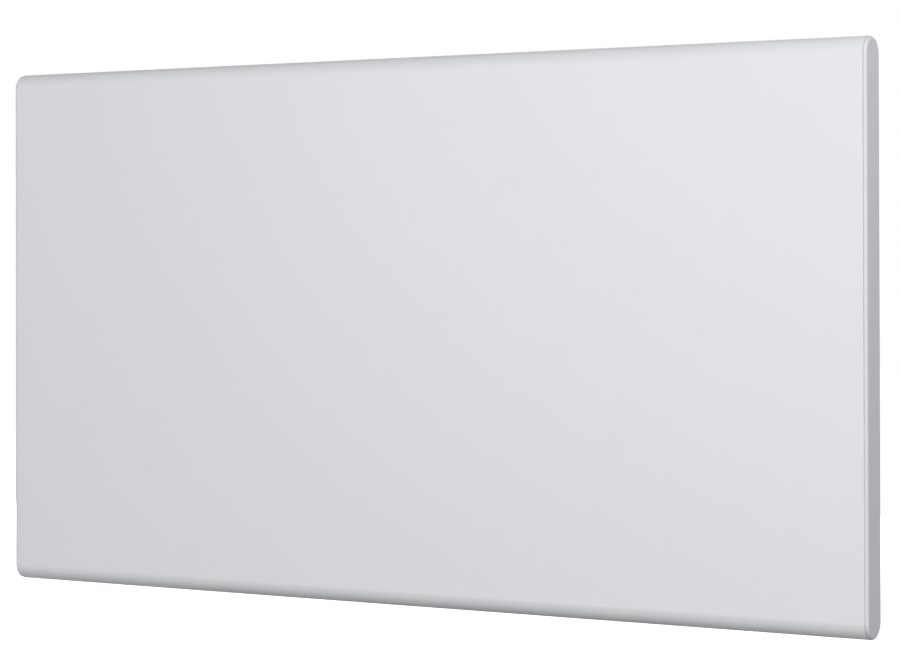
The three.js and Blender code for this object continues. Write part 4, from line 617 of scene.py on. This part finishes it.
def end_cap(name, side):
    """A skin with a soft outer edge, on the ribbed spigot that plugs into the sheet.

    A step fills the seam almost to the top and sits a little high, so the seam is deepest round the bottom.
    """
    radius = ROUND - CAP_INSET
    rings = [cap_ring(ROUND - STEP_DEPTH, side * x, STEP_RISE) for x in (SEAM_X - STEP_WIDTH, SEAM_X)]
    rings.append(cap_ring(radius, side * SEAM_X))
    for sine, cosine in quarter(steps=9):
        rings.append(cap_ring(radius - CAP_EDGE * (1 - cosine), side * (FACE_X - CAP_EDGE * (1 - sine))))
    skin = loft(rings)
    if side < 0:
        skin = combined(skin, control_openings(), "DIFFERENCE")
    spigot = inner_half(name, side * SPIGOT_CUT_X, side, SPIGOT_OVERLAP)
    placed(shaped(f"{name}_piece", combined(skin, spigot, "UNION"), CAP_PLASTIC), name)


def back_screws():
    """Pan-head screws with a cross recess that narrows downwards."""
    for number in range(1, 7):
        node = f"back_screw_{number}"
        low, high = box_mm(node)
        x, z = (low.x + high.x) / 2, (low.z + high.z) / 2
        ends = ((high.y + CUT_OVERRUN, 1.0), (high.y - RECESS_DEPTH, RECESS_TAPER))
        arms = []
        for reach_x, reach_z in ((RECESS_REACH, RECESS_HALF_WIDTH), (RECESS_HALF_WIDTH, RECESS_REACH)):
            arms.append([[(px, y, pz) for px, pz in rectangle(x, z, reach_x * taper, reach_z * taper)]
                         for y, taper in ends])
        head = combined(whole(node), loft(*arms), "DIFFERENCE")
        placed(shaped(f"{node}_piece", head, ZINC), node)


# Controls

def dial():
    """A fluted rim with soft edges and a dished face, on the hub that grips the shaft."""
    rings = [dial_ring(inset, DIAL_FACE_X + depth) for inset, depth in DISH]
    for sine, cosine in quarter(steps=6):
        rings.append(dial_ring(DIAL_FRONT_ROUND * (1 - sine), DIAL_FACE_X + DIAL_FRONT_ROUND * (1 - cosine)))
    for sine, cosine in quarter(steps=3):
        rings.append(dial_ring(DIAL_REAR_ROUND * (1 - cosine), DIAL_BACK_X - DIAL_REAR_ROUND * (1 - sine)))
    groove = [pointer_ring(POINTER_HALF_WIDTH, DIAL_FACE_X + x) for x in (-CUT_OVERRUN, POINTER_DEPTH)]
    bore_ends = (DIAL_FACE_X + DIAL_FACE_WALL, DIAL_BACK_X + CUT_OVERRUN)
    bore = [disc_ring(SHAFT_RADIUS + SLIDE_GAP, x) for x in bore_ends]
    knob = combined(loft(rings), loft(groove, bore), "DIFFERENCE")
    hub = inner_half("thermostat_dial", HUB_CUT_X, -1, HUB_OVERLAP)
    placed(shaped("thermostat_dial_piece", combined(knob, hub, "UNION"), CAP_PLASTIC), "thermostat_dial")
    paint = [pointer_ring(PAINT_HALF_WIDTH, DIAL_FACE_X + x) for x in (PAINT_DEPTH, POINTER_DEPTH)]
    printed("dial_pointer_paint", loft(paint), "thermostat_dial")


def scale_marks():
    """Bare printed ticks where the pointer passes: from the top, by the front, to the back."""
    ticks = []
    for i in range(TICKS):
        angle = math.radians(90 + TICK_TURN * i)
        out = Vector((0, math.cos(angle), math.sin(angle)))
        end, half_width = TICK_TO, TICK_HALF_WIDTH
        if i % LONG_TICK_EVERY == 0:
            end, half_width = LONG_TICK_TO, LONG_TICK_HALF_WIDTH
        across = Vector((0, -out.z, out.y)) * half_width
        inner, outer = out * TICK_FROM, out * end
        corners = (inner - across, inner + across, outer + across, outer - across)
        ticks.append([[Vector((LEFT_FACE_X + x, MID_Y, DIAL_Z)) + corner for corner in corners]
                      for x in (INK_SUNK, -INK_RAISED)])
    printed("dial_scale_ticks", loft(*ticks), "end_cap_left")


# Wires and springs

def tube(path, radius, sides):
    """Rings square to a path of points, without twist."""
    rings = []
    side = None
    for i, point in enumerate(path):
        along = (path[min(i + 1, len(path) - 1)] - path[max(i - 1, 0)]).normalized()
        side = (side - along * side.dot(along)).normalized() if side else along.orthogonal().normalized()
        other = along.cross(side)
        rings.append([point + (side * math.cos(t) + other * math.sin(t)) * radius
                      for t in (2 * math.pi * k / sides for k in range(sides))])
    return rings


def wire_path(start, leaving, end, arriving):
    """A cubic curve that leaves both of its ends straight."""
    a, b, c, d = start, start + leaving, end + arriving, end
    shares = [i / WIRE_STEPS for i in range(WIRE_STEPS + 1)]
    return [a * (1 - t) ** 3 + b * 3 * t * (1 - t) ** 2 + c * 3 * t * t * (1 - t) + d * t ** 3
            for t in shares]


# Each wire's start and how it leaves that, its end and how it leaves that
WIRES = {
    "lead_live": (TERMINAL_LIVE, UP * LEAVE_LONG, SWITCH_IN, RIGHT * LEAVE),
    "lead_switched": (SWITCH_OUT, RIGHT * LEAVE, THERMOSTAT_IN, RIGHT * LEAVE),
    "lead_to_cutout": (THERMOSTAT_OUT, RIGHT * LEAVE, CUTOUT_IN, LEFT * LEAVE),
    "lead_to_track": (CUTOUT_OUT, LEFT * LEAVE, TRACK_TOP, LEFT * LEAVE),
    "lead_to_fuse": (TRACK_BOTTOM, LEFT * LEAVE, FUSE_BOTTOM, DOWN * LEAVE),
    "lead_neutral": (FUSE_TOP, UP * LEAVE_LONG, TERMINAL_NEUTRAL, UP * LEAVE),
    "lead_earth": (TERMINAL_EARTH, UP * LEAVE_SHORT, EARTH_STUD, DOWN * LEAVE_SHORT),
}
SLEEVES = {"lead_to_fuse": BLUE_PVC, "lead_neutral": BLUE_PVC, "lead_earth": EARTH_PVC}


def wires():
    """Sleeved wires in the electrical bay, on the routes of their solids."""
    for node, route in WIRES.items():
        mesh = loft(tube(wire_path(*route), WIRE_RADIUS, WIRE_SIDES))
        placed(shaped(f"{node}_piece", mesh, SLEEVES.get(node, BROWN_PVC), sharp=SHARP_ON_WIRE), node)


def spring(hand, side):
    """A round wire in even turns between its two seats."""
    node = f"latch_spring_{hand}"
    steps = SPRING_TURNS * SPRING_TURN_STEPS
    path = []
    for i in range(steps + 1):
        angle = 2 * math.pi * SPRING_TURNS * i / steps
        path.append(Vector((
            side * ARM_X + SPRING_RADIUS * math.cos(angle),
            CHANNEL_MID_Y + SPRING_RADIUS * math.sin(angle),
            SPRING_LOW_Z + (SPRING_HIGH_Z - SPRING_LOW_Z) * i / steps,
        )))
    mesh = loft(tube(path, SPRING_WIRE_RADIUS, SPRING_SIDES))
    thing = shaped(f"{node}_piece", mesh, SPRING_STEEL, sharp=SHARP_ON_WIRE)
    placed(thing, node)
    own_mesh(thing)


# Lights, floor and background

def make_lamps():
    """Wide soft lamps: three for the sides that the photograph shows, two for the back."""
    for name, place, aim, width, height, watts in LAMPS:
        data = bpy.data.lights.new(name, "AREA")
        data.shape = "RECTANGLE"
        data.size, data.size_y = width, height
        data.energy = watts
        lamp = put(name, data)
        lamp.location = place
        lamp.rotation_mode = "QUATERNION"
        lamp.rotation_quaternion = (Vector(aim) - Vector(place)).to_track_quat("-Z", "Y")


def seen_directly(tree):
    """1 where the camera, or a mirror or glass on its way, sees the surface."""
    path = add(tree, "ShaderNodeLightPath").outputs
    seen = path["Is Camera Ray"]
    for ray in ("Is Glossy Ray", "Is Transmission Ray"):
        seen = add(tree, "ShaderNodeMath", (), {0: seen, 1: path[ray]}, operation="MAXIMUM").outputs[0]
    return seen


def between(tree, share, first, second):
    """A mix of two shaders."""
    links = {0: share, 1: first.outputs[0], 2: second.outputs[0]}
    return add(tree, "ShaderNodeMixShader", (), links)


def make_world():
    """Dim where it lights the scene, and white where it is seen."""
    SCENE.world = bpy.data.worlds.new("studio")
    tree = emptied(SCENE.world)
    dim = add(tree, "ShaderNodeBackground", {"Color": WHITE, "Strength": AMBIENT})
    white = add(tree, "ShaderNodeBackground", {"Color": WHITE, "Strength": 1.0})
    mix = between(tree, seen_directly(tree), dim, white)
    add(tree, "ShaderNodeOutputWorld", (), {"Surface": mix.outputs[0]})


def floor_material():
    """White to the camera where nothing shades it near the heater, and further off a painted glow whites out
    the shadow too. Grey where it throws light back, and clear from below.
    """
    material = bpy.data.materials.new("pale_floor")
    tree = emptied(material)
    geometry = add(tree, "ShaderNodeNewGeometry").outputs
    bounce = add(tree, "ShaderNodeBsdfDiffuse", {"Color": linear(BOUNCE_COLOUR)})
    white = add(tree, "ShaderNodeBsdfDiffuse", {"Color": WHITE})
    away = add(tree, "ShaderNodeVectorMath", (), {0: geometry["Position"]}, operation="LENGTH")
    # Painted glow: faint near the heater, where the shadow shows, and full further off, where it hides the
    # shadow
    strength = ranged(tree, away.outputs["Value"], GLOW_NEAR, GLOW_FAR, FAINT, FULL)
    painted_glow = add(tree, "ShaderNodeEmission", {"Color": WHITE}, {"Strength": strength})
    lit = add(tree, "ShaderNodeAddShader", (), {0: white.outputs[0], 1: painted_glow.outputs[0]})
    above = between(tree, seen_directly(tree), bounce, lit)
    clear = add(tree, "ShaderNodeBsdfTransparent")
    both = between(tree, geometry["Backfacing"], above, clear)
    add(tree, "ShaderNodeOutputMaterial", (), {"Surface": both.outputs[0]})
    return material


def make_floor():
    """A wide level floor below the heater."""
    bm = bmesh.new()
    bmesh.ops.create_grid(bm, x_segments=4, y_segments=4, size=FLOOR_HALF_WIDTH)
    mesh = bpy.data.meshes.new("floor")
    bm.to_mesh(mesh)
    bm.free()
    mesh.materials.append(floor_material())
    floor = put("floor", mesh)
    floor.location = (0, 0, FLOOR_Z)


# Assembly

make_camera()
make_world()
make_floor()
make_lamps()

front_panel()
end_cap("end_cap_right", 1)
end_cap("end_cap_left", -1)
dress("back_panel", GALVANISED, edge_mm=0.15)
back_screws()
for hand, side in (("left", -1), ("right", 1)):
    dress(f"slot_cover_{hand}", GALVANISED, edge_mm=0.15)
    dress(f"bracket_arm_{hand}", GALVANISED, edge_mm=0.2)
    dress(f"latch_{hand}", BLACK_PA, edge_mm=0.3)
    spring(hand, side)
dress("bracket_rail", GALVANISED, edge_mm=0.2)
for number in range(1, 5):
    dress(f"rail_rivet_{number}", ROLLED)

dress("heat_spreader", ROLLED, edge_mm=0.1)
dress("element_film_front", FILM)
dress("heating_track", FOIL)
dress("element_film_rear", FILM)
dress("insulation_board", WOOL, edge_mm=0.6)
dress("bay_divider", GALVANISED, edge_mm=0.15)

dress("thermal_cutout", PHENOLIC, edge_mm=0.15)
dress("thermal_fuse", BRASS, edge_mm=0.1)
dress("terminal_block", WHITE_PA, edge_mm=0.2)
dress("earth_stud", BRASS, edge_mm=0.1)
dress("earth_nut", BRASS, edge_mm=0.15)
dress("cord_gland", BLACK_PA, edge_mm=0.2)
dress("gland_nut", BLACK_PA, edge_mm=0.3)
wires()

dress("control_bracket", GALVANISED, edge_mm=0.15)
dress("thermostat_body", PHENOLIC, edge_mm=0.2)
dress("thermostat_nut", BRASS, edge_mm=0.15)
dress("thermostat_shaft", ZINC, edge_mm=0.15)
dial()
scale_marks()
dress("sensor_capillary", COPPER, edge_mm=0.05)
dress("switch_housing", BLACK_PA, edge_mm=0.15)
dress("switch_rocker", WHITE_PA, edge_mm=0.2)

SCENE.view_settings.view_transform = "Standard"
